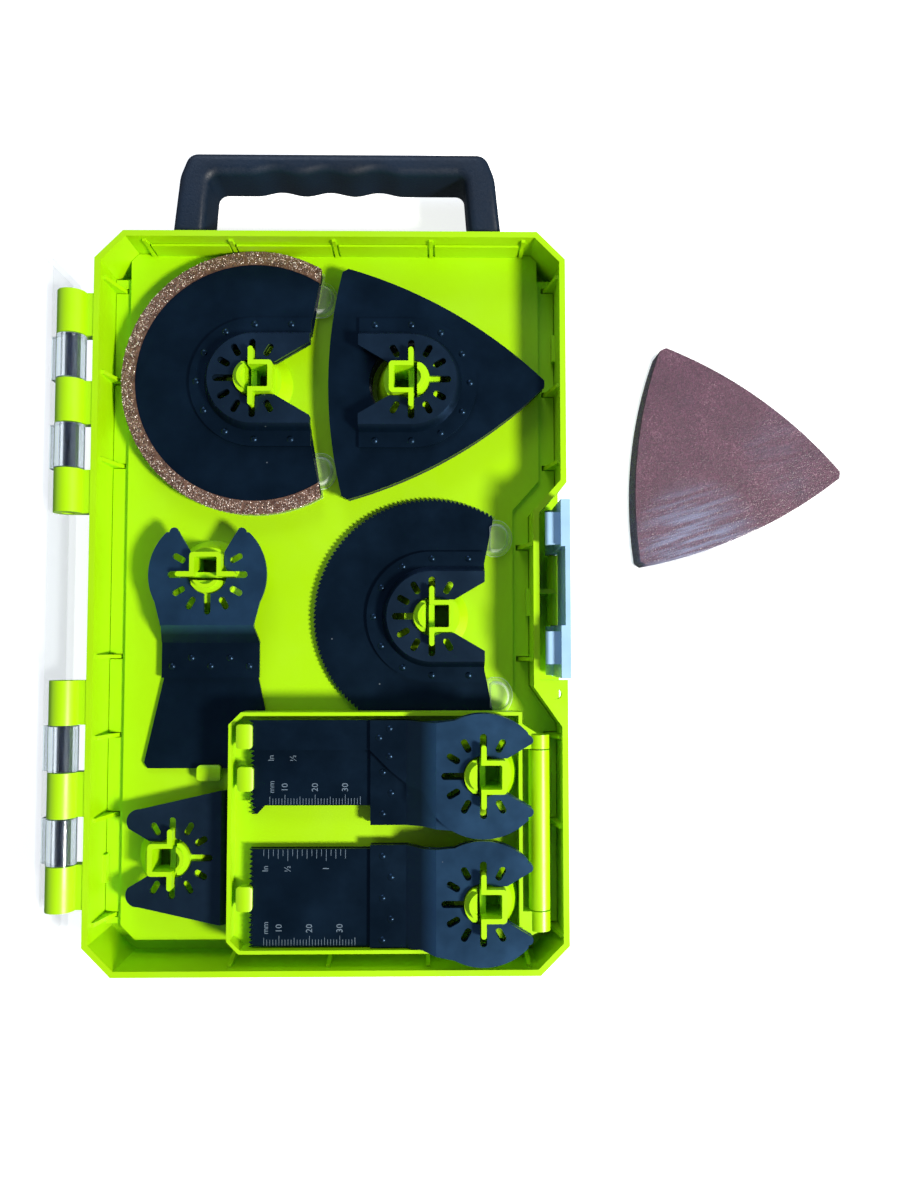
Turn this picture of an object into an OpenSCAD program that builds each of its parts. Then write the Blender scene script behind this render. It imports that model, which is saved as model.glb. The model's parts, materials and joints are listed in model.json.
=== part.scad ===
// Accessory set for an oscillating multi-tool: a hinged carry case with a clear lid, an insert with
// moulded posts, a flip-up tray, saw and scraper blades, a delta sanding pad and a pack of sheets.
// Millimetres. The case lies flat on its back: Z is up, +Y is the handle side, +X the latch side.

/* [Case] */
// Width of the case across the rim
case_w = 159; // [150:1:170]
// Length of the case along the hinge side
case_l = 248; // [240:1:260]
// Depth of each half of the case
half_h = 25; // [24:0.5:28]
// Thickness of the case walls
wall = 2; // [1.6:0.1:2.4]
// Leg of the 45 degree corner chamfers
corner = 9.5; // [6:0.5:12]
// Height of the raised insert above the table
deck_z = 10.5; // [9.5:0.25:11]

/* [Hinge] */
// Distance from the case wall to the hinge axis
hinge_out = 7; // [6:0.5:9]
// Outer radius of the hinge knuckles
knuckle_r = 4.75; // [4:0.25:5.5]
// Radius of the hinge pins
hinge_pin_r = 2; // [1.5:0.1:2.5]
// Distance between knuckle centres
knuckle_step = 15; // [14:0.5:16]

/* [Latch] */
// Depth of the recess that the latch sits in
recess = 9.3; // [8:0.1:10]
// Height of the latch plate's top edge
latch_top = 33; // [31:0.5:36]

/* [Handle] */
// How far the handle reaches out from the case
handle_reach = 29.2; // [24:1:36]
// Depth of the grip, front to back
handle_depth = 19; // [16:1:20]

/* [Blades] */
// Thickness of the flat blade plates
plate_t = 1; // [0.8:0.1:1.2]
// Thickness of the pressed hub plates
hub_t = 1.2; // [1:0.1:1.4]
// Radius of the round hub plates
hub_r = 20; // [19:0.5:21]
// Radius of the grit segment blade
grit_r = 46; // [44:0.5:46.5]
// Radius of the toothed segment blade
wood_r = 41; // [40:0.5:42]
// Width of the wide plunge blades
plunge_w = 31.8; // [30:0.2:32]
// Spacing of the saw teeth
tooth = 1.6; // [1.4:0.1:2.4]

/* [Tray] */
// Height of the underside of the tray floor
tray_z = 16.1; // [16:0.1:16.5]
// Height of the tray rim
tray_rim = 24; // [23:0.5:24.5]
// Height of the tray hinge axis
tray_pivot_z = 21.5; // [21:0.25:22]

/* [Sanding sheets] */
// Side length of a triangular sheet
sheet_side = 78; // [76:1:82]
// Number of sheets in the pack
sheets = 10; // [5:1:10]

/* [Hidden] */
$fn = 64;

lime = "#b4f000";
steel_black = "#1c2b3d";
clear = [0.75, 0.85, 0.95, 0.35];

eps = 0.01;
half_w = case_w / 2;
half_l = case_l / 2;
floor_t = 1.8;
hinge_x = -half_w - hinge_out;
recess_x = half_w - recess;
recess_lo = -29.5;
recess_hi = 27.9;

// Outline of the case in plan, walked anticlockwise
outline = [
    [-half_w + corner, -half_l],
    [half_w - corner, -half_l],
    [half_w, -half_l + corner],
    [half_w, recess_lo - 13.1],
    [recess_x, recess_lo],
    [recess_x, recess_hi],
    [half_w, recess_hi + 10.4],
    [half_w, half_l - corner],
    [half_w - corner, half_l],
    [-half_w + corner, half_l],
    [-half_w, half_l - corner],
    [-half_w, -half_l + corner]
];

// Left-hand normal of the edge from a to b
function edge_normal(a, b) = [a.y - b.y, b.x - a.x] / norm(b - a);

// The polygon p with every edge moved inwards by d
function inset(p, d) = [
    for (i = [0 : len(p) - 1])
        let (before = p[(i + len(p) - 1) % len(p)],
             after = p[(i + 1) % len(p)],
             n1 = edge_normal(before, p[i]),
             n2 = edge_normal(p[i], after))
        p[i] + d * (n1 + n2) / (1 + n1 * n2)
];

// ---- places of the posts and blades: [x, y, direction that the hub mouth faces] ----
grit_at = [-27, 74.8, 0];
pad_at = [27.3, 73.8, 180];
wood_at = [34.3, -6.4, 0];
scraper_at = [-41.6, 7.7, 90];
flush_at = [-52.8, -87.5, 180];
upper_at = [51, -58.3, 0];
lower_at = [51, -99.4, 0];

// Heights of the hub plates' undersides
hub_rise = 4.2;
metal_z = deck_z + 1;
metal_hub_z = metal_z + plate_t + hub_rise;
grit_z = metal_z + plate_t + hub_t + 0.3;
grit_hub_z = grit_z + plate_t + hub_rise;
wood_z = deck_z + 1.1;
wood_hub_z = wood_z + plate_t + hub_rise;
pad_z = deck_z + 0.3;
pad_plate_z = pad_z + 5.5;
pad_hub_z = pad_plate_z + 1.2 + hub_rise;
low_z = deck_z + 0.3;
scraper_hub_z = low_z + 7;
flush_hub_z = low_z + 4.7;
tray_floor_z = tray_z + 1.5;
stack = plate_t + hub_t + 0.3;
tray_blade_z = tray_floor_z + 0.3;
tray_rise = 8;
post_over = 3.2;

module place(at, z = 0) {
    translate([at.x, at.y, z]) rotate(at.z) children();
}

// Rectangle from corner a to corner b with round corners
module round_rect(a, b, r) {
    translate([a.x + r, a.y]) square([b.x - a.x - 2 * r, b.y - a.y]);
    translate([a.x, a.y + r]) square([b.x - a.x, b.y - a.y - 2 * r]);
    for (x = [a.x + r, b.x - r], y = [a.y + r, b.y - r]) translate([x, y]) circle(r = r, $fn = 24);
}

// ---- the universal hub ----
module slot_2d(from, to, width) {
    translate([from, -width / 2]) square([to - from, width]);
    translate([to, 0]) circle(d = width);
    translate([from, 0]) circle(d = width);
}

module hub_openings_2d() {
    circle(r = 6.6);
    for (a = [90, 180, 270]) rotate(a) slot_2d(5, 12.4, 2.3);
    for (a = [60, 120, 150, 210, 240, 300]) rotate(a) slot_2d(9.9, 12.4, 2.2);
    polygon([[0, -5.7], [7.7, -5.7], [18, -11.8], [34, -21.3], [34, 21.3], [18, 11.8], [7.7, 5.7], [0, 5.7]]);
}

// Spot-weld dimple
module dimple(x, y, z) {
    translate([x, y, z]) intersection() {
        translate([0, 0, -0.9]) sphere(r = 1.5);
        cylinder(r = 2, h = 2);
    }
}

// Raised U-shaped hub pressed from one sheet; local z = 0 is the underside of its flange.
// The sloped wall is drawn thinner in pressing, which lets two hubs nest.
module pressed_hub(arm, welds = true) {
    top = hub_rise;
    half = [[0, top], [15.1, top], [17, 0], [22.5, 0], [22.5, hub_t], [17.3, hub_t],
            [15.4, top + hub_t], [0, top + hub_t]];
    both = concat(half, [for (i = [len(half) - 1 : -1 : 0]) [-half[i].x, half[i].y]]);
    difference() {
        union() {
            intersection() {
                rotate_extrude() polygon(half);
                translate([-30, -30, -1]) cube([30, 60, 12]);
            }
            rotate([90, 0, 90]) linear_extrude(arm)
                polygon([[-22.5, 0], [-17, 0], [-15.1, top], [15.1, top], [17, 0], [22.5, 0],
                         [22.5, hub_t], [17.3, hub_t], [15.4, top + hub_t], [-15.4, top + hub_t],
                         [-17.3, hub_t], [-22.5, hub_t]]);
        }
        translate([0, 0, -1]) linear_extrude(10) hub_openings_2d();
    }
    if (welds) {
        for (a = [90 : 30 : 270]) dimple(20.1 * cos(a), 20.1 * sin(a), hub_t);
        for (s = [-1, 1]) dimple(12.6, s * 20.1, hub_t);
    }
}

// Flat round hub in plan, mouth towards +X
module round_hub_2d() {
    difference() {
        union() {
            intersection() {
                circle(r = hub_r);
                translate([-30, -30]) square([44.4, 60]);
            }
            for (s = [-1, 1]) translate([14.4, s * 11.4]) circle(r = 1.6);
        }
        hub_openings_2d();
    }
}

// Cranked hub: round plate at the top, slope, and a flat strap welded on the blade.
// Local x runs away from the mouth as negative; z = 0 is the underside of the strap.
// low = [half width, waist] of the -y side where it is narrower than the +y side.
module cranked_hub(rise, slope_from, slope_to, strap_end, half, waist, low = [0, 0]) {
    near = low.x > 0 ? low : [half, waist];
    intersection() {
        linear_extrude(rise + hub_t + 1) {
            round_hub_2d();
            difference() {
                polygon([[strap_end, -near.x], [slope_to, -near.x], [slope_to + 5, -near.y], [-9, -17.8],
                         [-9, 17.8], [slope_to + 5, waist], [slope_to, half], [strap_end, half]]);
                hub_openings_2d();
            }
        }
        rotate([90, 0, 0]) translate([0, 0, -30]) linear_extrude(60)
            polygon([[30, rise], [slope_from, rise], [slope_to, 0], [strap_end, 0], [strap_end, hub_t],
                     [slope_to - 0.6, hub_t], [slope_from - 0.6, rise + hub_t], [30, rise + hub_t]]);
    }
}

// Blade plate in plan: working edge at x = tip with teeth, opposite edge at x = back
module toothed_plate_2d(back, tip, half_back, half_waist, half_tip, flare) {
    n = round(2 * half_tip / tooth);
    step = 2 * half_tip / n;
    polygon(concat(
        [[back, half_back], [back - 4, half_waist], [tip + flare + 3, half_waist], [tip + flare, half_tip]],
        [for (i = [0 : n - 1]) each [[tip, half_tip - (i + 0.1) * step], [tip + 1.5, half_tip - (i + 0.6) * step]]],
        [[tip, -half_tip], [tip + flare, -half_tip], [tip + flare + 3, -half_waist], [back - 4, -half_waist],
         [back, -half_back]]
    ));
}

// Part-circle with saw teeth round the rim
module toothed_disc_2d(r) {
    n = round(2 * PI * r / tooth);
    polygon([for (i = [0 : n - 1]) each [
        [(r - 1) * cos(360 * i / n), (r - 1) * sin(360 * i / n)],
        [r * cos(360 * (i + 0.75) / n), r * sin(360 * (i + 0.75) / n)]
    ]]);
}

// What is cut away from a segment blade's plate: the open side and the nest for the hub below
module segment_cut_2d(arm, r, nest = 15) {
    lip = nest + 1;
    polygon([[arm - 1, -lip], [arm, -lip - 2], [arm + 4.6, -r], [2 * r, -r], [2 * r, r], [arm + 4.6, r],
             [arm, lip + 2], [arm - 1, lip], [arm - 4, nest], [0, nest], [0, -nest], [arm - 4, -nest]]);
    circle(r = nest);
}

// ---- moulded posts, clips and ribs ----
// Post for one hub: boss up to z_boss, C-shaped tube, two wings and the sprung catch up to z_top
module post(z0, z_boss, z_top) {
    difference() {
        translate([0, 0, z0]) cylinder(r1 = 12.5, r2 = 9.4, h = z_boss - z0);
        translate([0.9, -3.8, z0 - 5]) cube([4.9, 7.6, 40]);
        translate([-2.1, -6.5, z0 + 1]) cube([1.1, 13, 40]);
    }
    translate([0, 0, z_boss - eps]) linear_extrude(z_top - z_boss) difference() {
        union() {
            round_rect([-0.85, -5.35], [7.4, 5.35], 1.3);
            translate([-0.85, -5.35]) square([3, 10.7]);
            round_rect([-0.85, -10.1], [0.85, 10.1], 0.84);
        }
        round_rect([-2, -3.8], [5.8, 3.8], 0.5);
    }
    translate([0, 0, z_boss - eps]) intersection() {
        union() {
            cylinder(r = 6.2, h = z_top - z_boss - 1.6);
            difference() {
                cylinder(r = 4.7, h = z_top - z_boss);
                translate([0, 0, -1]) cylinder(r = 3.4, h = 40);
            }
        }
        translate([-10, -5.2, 0]) cube([7.9, 10.4, 40]);
    }
}

// Hook that holds a blade's working end; local +X points over the blade, whose edge is at x = 0
module end_clip(z0, z_nose, reach = 1.4, width = 8) {
    back = -3.9;
    crown = 6;
    high = 2;
    translate([back + 0.5, -width / 2 + 0.6, z0]) cube([2.6, width - 1.2, z_nose - z0 + 1]);
    translate([0, 0, z_nose]) intersection() {
        linear_extrude(high) round_rect([back, -width / 2], [reach, width / 2], 1.1);
        translate([(back + reach) / 2, width, high - crown]) rotate([90, 0, 0]) cylinder(r = crown, h = 2 * width);
    }
}

// Triangular stiffening rib with its upright edge on a wall; local +X points into the case
module rib(long, high, thick = 1.3) {
    translate([0, thick / 2, 0]) rotate([90, 0, 0]) linear_extrude(thick)
        polygon([[-eps, 0], [long, 0], [long * 0.45, high * 0.55], [0.8, high], [-eps, high]]);
}

// Row of knuckles centred at the given y values, on the hinge axis, drawn for the base half
module knuckles(ys) {
    for (y = ys) difference() {
        union() {
            translate([hinge_x, y + 7.3, half_h]) rotate([90, 0, 0]) cylinder(r = knuckle_r, h = 14.6);
            translate([hinge_x, y - 7.3, half_h - knuckle_r + 0.05]) cube([hinge_out + 0.5, 14.6, 4.45]);
        }
        translate([hinge_x, y + 8, half_h]) rotate([90, 0, 0]) cylinder(r = hinge_pin_r + 0.05, h = 16);
    }
}

module shell_2d(t) {
    difference() {
        polygon(outline);
        polygon(inset(outline, t));
    }
}

// Ear with the padlock hole, below the latch
lock_at = [75.6, -32.4];

module lock_ear(z, t) {
    translate([0, 0, z]) difference() {
        linear_extrude(t)
            polygon([[recess_x - 0.5, -27.8], [half_w, -27.8], [half_w, recess_lo - 13.3], [recess_x - 0.5, recess_lo]]);
        translate([lock_at.x, lock_at.y, -1]) cylinder(r = 1.75, h = t + 2);
    }
}

// ---- case ----
// Places of the stiffening ribs along each wall
left_ribs = [108.9, 76.2, 46.5, -20, -47, -74, -108];
right_ribs = [109.6, 72.1, 46, -47, -76.5, -112];
recess_ribs = [17.9, -21];
top_ribs = [-63.6, -34.3, 0.8, 34, 65.6];
ledge_z = 9.2;
latch_axis = [77.2, 8];
tray_axis_x = 70;

module case_base() {
    color(lime) {
        difference() {
            linear_extrude(floor_t) polygon([for (p = outline) if (p.x != recess_x) p]);
            for (s = [-1, 1], t = [-1, 1]) translate([s * 55, t * 100, -1]) cylinder(r = 3, h = 1.5);
        }
        difference() {
            linear_extrude(half_h) shell_2d(wall);
            for (s = [-1, 1]) translate([1.75 + s * 50.5 - 4.2, half_l - 5, 3.3]) cube([8.4, 10, 4.9]);
        }
        for (y = left_ribs) translate([-half_w + wall, y, floor_t - eps]) rib(6, 20);
        for (y = right_ribs) translate([half_w - wall, y, floor_t - eps]) rotate(180) rib(5.8, 20);
        for (y = recess_ribs) translate([recess_x - wall, y, floor_t - eps]) rotate(180) rib(5.8, 20);
        for (x = [-32.2, 0.2, 33.1, 66.3]) translate([x, -half_l + wall, floor_t - eps]) rotate(90) rib(6, 20);
        for (x = top_ribs) translate([x, half_l - wall, deck_z + 0.3]) rotate(-90) rib(1.2, 12);
        for (t = [[-half_w + wall, -92], [recess_x - wall - 1.2, -1.4], [half_w - wall - 1.2, 88]])
            translate([t.x - (t.x < 0 ? 0.5 : 0), t.y - 4.7, ledge_z + 0.4]) cube([1.7, 9.4, 2.6]);
        knuckles([35, 65, 95, -35, -65, -95]);
        lock_ear(half_h - 2.4, 2.4);
        latch_seat();
    }
}

// Centre barrel that the latch pin runs through, with the rib that ties it to the wall
module latch_seat() {
    difference() {
        union() {
            translate([latch_axis.x, 15, latch_axis.y]) rotate([90, 0, 0]) cylinder(r = 2.7, h = 24.3);
            translate([latch_axis.x - 1.6, -9.3, floor_t - eps]) cube([3.2, 24.3, latch_axis.y - floor_t]);
            translate([recess_x - eps, 1.6, floor_t - eps]) cube([latch_axis.x - recess_x, 1.6, 11]);
        }
        translate([latch_axis.x, 20, latch_axis.y]) rotate([90, 0, 0]) cylinder(r = 1.55, h = 34);
    }
}

module deck_2d(d) {
    polygon(inset(outline, wall + 5.8 + d));
    intersection() {
        polygon(inset(outline, wall + 0.2 + d));
        translate([-71.7 + d, 80]) square([143 - 2 * d, 42 - d]);
    }
}

// Lower border of the insert, slotted for the ribs of the walls
module ledge_2d() {
    difference() {
        intersection() {
            polygon(inset(outline, wall + 0.25));
            translate([-90, -111]) square([180, 224]);
        }
        deck_2d(0.6);
        for (y = left_ribs) translate([-half_w, y - 0.95]) square([wall + 4.6, 1.9]);
        for (y = right_ribs) translate([half_w - wall - 4.6, y - 0.95]) square([wall + 4.6, 1.9]);
        for (y = recess_ribs) translate([recess_x - wall - 4.6, y - 0.95]) square([wall + 4.6, 1.9]);
    }
}

module insert_panel() {
    color(lime) {
        difference() {
            union() {
                translate([0, 0, floor_t]) linear_extrude(deck_z - floor_t) deck_2d(0);
                translate([0, 0, ledge_z - 1.2]) linear_extrude(1.2) ledge_2d();
                for (i = [0 : len(top_ribs) - 2])
                    translate([top_ribs[i] + 1.3, half_l - wall - 0.9, deck_z - 2])
                        cube([top_ribs[i + 1] - top_ribs[i] - 2.6, 0.75, 10.5]);
            }
            translate([0, 0, floor_t - 1]) linear_extrude(deck_z - floor_t - 0.6) deck_2d(1.6);
            for (s = [-1, 1]) translate([1.75 + s * 50.5 - 4.4, 110, 3.1]) cube([8.8, 20, 5.2]);
            for (p = [grit_at, pad_at, wood_at, scraper_at, flush_at])
                place(p) translate([0.9, -3.8, 0]) cube([4.9, 7.6, 40]);
        }
        place(grit_at) post(deck_z - eps, metal_hub_z - 0.3, grit_hub_z + hub_t + post_over);
        place(pad_at) post(deck_z - eps, pad_hub_z - 0.3, pad_hub_z + hub_t + post_over);
        place(wood_at) post(deck_z - eps, wood_hub_z - 0.3, wood_hub_z + hub_t + post_over);
        place(scraper_at) post(deck_z - eps, scraper_hub_z - 0.3, scraper_hub_z + hub_t + post_over);
        place(flush_at) post(deck_z - eps, flush_hub_z - 0.3, flush_hub_z + hub_t + post_over);
        translate([scraper_at.x, -58.4, 0]) rotate(90) end_clip(deck_z - eps, low_z + plate_t + 0.6);
    }
}

// Lid in its closed position, rim down on the base
module lid_closed() {
    difference() {
        union() {
            translate([0, 0, 2 * half_h - floor_t]) linear_extrude(floor_t) polygon(outline);
            translate([0, 0, half_h + 0.3]) linear_extrude(half_h - 0.3 - eps) shell_2d(1.8);
            translate([recess_x - 0.5, -25, half_h + 0.3]) cube([4.3, 50, 2]);
        }
    }
    lock_ear(half_h + 0.3, 2.4);
    translate([0, 0, 2 * half_h]) mirror([0, 0, 1]) knuckles([50, 80, -50, -80]);
}

module case_lid() {
    color(clear) translate([2 * hinge_x, 0, 2 * half_h]) rotate([0, 180, 0]) lid_closed();
}

module hinge_pin(y) {
    color(steel_black) translate([hinge_x, y + 37, half_h]) rotate([90, 0, 0]) cylinder(r = hinge_pin_r, h = 74);
}

module hinge_pin_upper() { hinge_pin(65); }
module hinge_pin_lower() { hinge_pin(-65); }

module latch() {
    color("#8fc3f0") difference() {
        union() {
            translate([76.4, -27, 5]) cube([3.1, 17.1, latch_top - 5]);
            translate([76.4, 15.9, 5]) cube([3.1, 15.5, latch_top - 5]);
            translate([77.8, -10, 12.2]) cube([1.7, 26, latch_top - 12.2]);
            for (y = [[-26.6, -9.7], [15.4, 31]])
                translate([latch_axis.x, y[1], latch_axis.y]) rotate([90, 0, 0]) cylinder(r = 3.2, h = y[1] - y[0]);
            for (y = [-22.5, 16.7]) {
                translate([72.9, y, 28.1]) cube([4, 10.7, 2.4]);
                translate([72.9, y + 10.7, 29.3]) rotate([90, 0, 0]) cylinder(r = 1.2, h = 10.7);
            }
        }
        translate([latch_axis.x, 40, latch_axis.y]) rotate([90, 0, 0]) cylinder(r = 1.55, h = 80);
    }
}

module latch_pin() {
    color("#8a9099") translate([latch_axis.x, 30.7, latch_axis.y]) rotate([90, 0, 0]) cylinder(r = 1.5, h = 56.9);
}

module handle() {
    base = half_l + 0.3;
    out = half_l + handle_reach;
    grip = 7.7;
    color("#16263a") translate([1.75, 0, 3]) {
        difference() {
            linear_extrude(handle_depth) polygon([
                [-56.5, base], [-45.5, base], [-44.3, out - grip - 2.6], [-41.7, out - grip], [41.7, out - grip],
                [44.3, out - grip - 2.6], [45.5, base], [56.5, base], [54.2, out - 8], [50.4, out - 1.6], [47, out],
                [-47, out], [-50.4, out - 1.6], [-54.2, out - 8]]);
            for (x = [-21.5 : 17.5 : 13.5])
                translate([x, out - grip - 13.6, -1]) cylinder(r = 15, h = handle_depth + 2);
        }
        for (s = [-1, 1]) translate([s * 50.5 - 4, half_l - 3.2, 0.5]) cube([8, 4, 4.5]);
    }
}

// ---- flip-up tray ----
tray_left = -32.8;
tray_right = 64.3;
tray_lo = -117;
tray_hi = -38.4;

module tray_2d(d) {
    polygon([[tray_left + d, tray_lo + 4 + d * 0.4], [tray_left + 4 + d * 0.4, tray_lo + d], [tray_right - d, tray_lo + d],
             [tray_right - d, tray_hi - d], [tray_left + 4 + d * 0.4, tray_hi - d], [tray_left + d, tray_hi - 4 - d * 0.4]]);
}

module tray_lug(y_from, y_to, slant) {
    difference() {
        union() {
            translate([tray_axis_x, y_to, tray_pivot_z]) rotate([90, 0, 0]) cylinder(r = 3.5, h = y_to - y_from);
            translate([0, 0, tray_pivot_z - 3.3]) linear_extrude(5.5)
                polygon([[tray_right - 0.5, y_from], [tray_axis_x, y_from], [tray_axis_x, y_to],
                         [tray_right - 0.5, y_to + slant]]);
        }
        translate([tray_axis_x, y_to + 1, tray_pivot_z]) rotate([90, 0, 0]) cylinder(r = 1.55, h = y_to - y_from + 2);
    }
}

module tray() {
    color(lime) {
        difference() {
            translate([0, 0, tray_z]) linear_extrude(1.5) tray_2d(0);
            for (p = [upper_at, lower_at]) place(p) translate([0.9, -3.8, 0]) cube([4.9, 7.6, 40]);
        }
        translate([0, 0, tray_z]) linear_extrude(tray_rim - tray_z) difference() {
            tray_2d(0);
            tray_2d(1.2);
        }
        place(lower_at) post(tray_floor_z - eps, tray_blade_z + plate_t + tray_rise - 0.3,
                             tray_blade_z + plate_t + tray_rise + stack + hub_t + post_over);
        place(upper_at) post(tray_floor_z - eps, tray_blade_z + plate_t + tray_rise - 0.3,
                             tray_blade_z + plate_t + tray_rise + 2 * stack + hub_t + post_over);
        translate([-26, -46.2, 0]) end_clip(tray_floor_z - eps, tray_blade_z + 2 * stack + plate_t + 0.6);
        translate([-26, -60.4, 0]) end_clip(tray_floor_z - eps, tray_blade_z + stack + plate_t + 0.6);
        translate([-26, lower_at.y, 0]) end_clip(tray_floor_z - eps, tray_blade_z + stack + plate_t + 0.6);
        tray_lug(-50.6, -46, 4);
        mirror([0, 1, 0]) tray_lug(103.6, 110, 3);
    }
}

// Fixed bar between the tray's lugs, on two legs from the insert
module tray_hinge_bar() {
    color(lime) difference() {
        union() {
            translate([tray_axis_x, -51, tray_pivot_z]) rotate([90, 0, 0]) cylinder(r = 3.5, h = 52.2);
            for (y = [-58, -80, -102]) translate([tray_axis_x - 1.2, y, deck_z]) cube([2.1, 6, tray_pivot_z - deck_z]);
        }
        translate([tray_axis_x, -50, tray_pivot_z]) rotate([90, 0, 0]) cylinder(r = 1.55, h = 55);
    }
}

module tray_hinge_pin() {
    color("#8a9099") translate([tray_axis_x, -46.4, tray_pivot_z]) rotate([90, 0, 0]) cylinder(r = 1.5, h = 63.2);
}

// ---- segment blades ----
grit_arm = 19.5;
wood_arm = 18;

module grit_plate() {
    color(steel_black) place(grit_at, grit_z) linear_extrude(plate_t) difference() {
        circle(r = grit_r - 4.6, $fn = 128);
        segment_cut_2d(grit_arm, grit_r, 18.3);
    }
}

module grit_rim() {
    color("#a8705c") place(grit_at, grit_z - 0.4) linear_extrude(plate_t + 0.8) difference() {
        circle(r = grit_r, $fn = 128);
        circle(r = grit_r - 4.6, $fn = 128);
        segment_cut_2d(grit_arm, grit_r + 2);
    }
}

module grit_hub() {
    color(steel_black) place(grit_at, grit_z + plate_t) pressed_hub(grit_arm);
}

module metal_segment_plate() {
    color(steel_black) place(grit_at, metal_z) linear_extrude(plate_t) difference() {
        toothed_disc_2d(grit_r - 0.6);
        segment_cut_2d(grit_arm, grit_r, 15);
    }
}

module metal_segment_hub() {
    color(steel_black) place(grit_at, metal_z + plate_t) pressed_hub(grit_arm, welds = false);
}

// Clear strip under a segment blade, with a D-shaped tab at each end
module guard_2d(r, arm, tab, tab_dy) {
    difference() {
        circle(r = r, $fn = 128);
        circle(r = r - 10, $fn = 128);
        polygon([[arm, 0], [arm + 4.6, -r], [r * 2, -r], [r * 2, r], [arm + 4.6, r]]);
    }
    for (s = [-1, 1]) translate([tab, s * tab_dy]) {
        circle(r = 5.6);
        translate([-6, -5.6]) square([6, 11.2]);
    }
}

module metal_segment_guard() {
    color(clear) place(grit_at, deck_z + 0.2) linear_extrude(0.5) guard_2d(grit_r, grit_arm, 22.6, 30);
}

module wood_segment_plate() {
    color(steel_black) place(wood_at, wood_z) linear_extrude(plate_t) difference() {
        toothed_disc_2d(wood_r);
        segment_cut_2d(wood_arm, wood_r, 15);
    }
}

module wood_segment_hub() {
    color(steel_black) place(wood_at, wood_z + plate_t) pressed_hub(wood_arm);
}

module wood_segment_guard() {
    color(clear) place(wood_at, deck_z + 0.3) linear_extrude(0.5) guard_2d(wood_r, wood_arm, 22.4, 27);
}

// ---- delta sanding pad ----
// Triangle with bowed sides: three large arcs, blunted at the corners
module delta_2d(circum, bow = 5.2) {
    side = circum * sqrt(3);
    arc = (side * side / 4 + bow * bow) / (2 * bow);
    off = arc - circum / 2 - bow;
    intersection() {
        circle(r = circum - 1.2);
        for (a = [0]) translate([off * cos(a), off * sin(a)]) circle(r = arc, $fn = 200);
        translate([off * cos(120), off * sin(120)]) circle(r = arc, $fn = 200);
        translate([off * cos(240), off * sin(240)]) circle(r = arc, $fn = 200);
    }
}

module pad_layer(z, t, circum, hole) {
    place([pad_at.x, pad_at.y, 0], z) linear_extrude(t) difference() {
        delta_2d(circum);
        circle(r = hole);
    }
}

module pad_hook_layer() { color("#20242a") pad_layer(pad_z, 1, 46.2, 14); }
module pad_foam() { color("#2a3038") pad_layer(pad_z + 1, 4.5, 46.6, 14); }
module pad_plate() { color(steel_black) pad_layer(pad_plate_z, 1.2, 47, 14.6); }
module pad_hub() { color(steel_black) place(pad_at, pad_plate_z + 1.2) pressed_hub(18); }

// ---- scraper and wide flush-cut blade, held on the insert ----
scraper_end = 65.9;

module scraper_plate() {
    color(steel_black) place(scraper_at, low_z) linear_extrude(plate_t)
        polygon([[-24, -16.2], [-35.2, -16.2], [-63.9, -22.6], [-scraper_end, -21.4], [-scraper_end, 21.4],
                 [-63.9, 22.6], [-35.2, 16.2], [-24, 16.2]]);
}

module scraper_hub() {
    color(steel_black) place(scraper_at, low_z + plate_t) {
        cranked_hub(scraper_hub_z - low_z - plate_t, -16.5, -22.5, -35, 16.7, 15.6);
        for (i = [-2 : 2]) dimple(-29.6 - 1.4 * (i % 2 == 0 ? 1 : -1), i * 6.6, hub_t);
    }
}

module flush_cut_plate() {
    color(steel_black) place(flush_at, low_z) linear_extrude(plate_t)
        toothed_plate_2d(-21.8, -75, 22.4, 22.8, 22.8, 0);
}

module flush_cut_hub() {
    rise = flush_hub_z - low_z - plate_t;
    color(steel_black) place(flush_at, low_z + plate_t) {
        intersection() {
            linear_extrude(10) difference() {
                union() {
                    polygon([[13.5, 8.5], [15.2, 12], [12, 16], [-16, 22.3], [-34, 22.3], [-34, -22.3], [-16, -22.3],
                             [12, -16], [15.2, -12], [13.5, -8.5]]);
                    for (s = [-1, 1]) translate([11.4, s * 12.2]) circle(r = 4);
                }
                hub_openings_2d();
            }
            rotate([90, 0, 0]) translate([0, 0, -30]) linear_extrude(60)
                polygon([[30, rise], [-15.6, rise], [-19, 0], [-34, 0], [-34, hub_t], [-19.7, hub_t],
                         [-16.3, rise + hub_t], [30, rise + hub_t]]);
        }
        for (i = [-2 : 2]) dimple(-27, i * 8.4, hub_t);
    }
}

// ---- plunge blades in the tray; the working end is at x = -26 in the shared frame ----
tip_x = -26 - upper_at.x;
// Strap and waist beside the tray's lower wall
tray_side = [16, 15.6];

module plunge_plate_at(at, level, back, half_back, half_waist, half_tip, flare) {
    color(steel_black) place(at, tray_blade_z + level * stack) linear_extrude(plate_t)
        toothed_plate_2d(back, tip_x, half_back, half_waist, half_tip, flare);
}

// Spot welds stand proud of the strap only where no other blade lies on it
module plunge_hub_at(at, level, low, welds) {
    color(steel_black) place(at, tray_blade_z + level * stack + plate_t) {
        cranked_hub(tray_rise, -14.6, -24.6, -37, 17.3, 16.9, low);
        for (i = welds) dimple(-31.5 - 1.4 * (i % 2 == 0 ? 1 : -1), i * 6.8, hub_t);
    }
}

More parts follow.
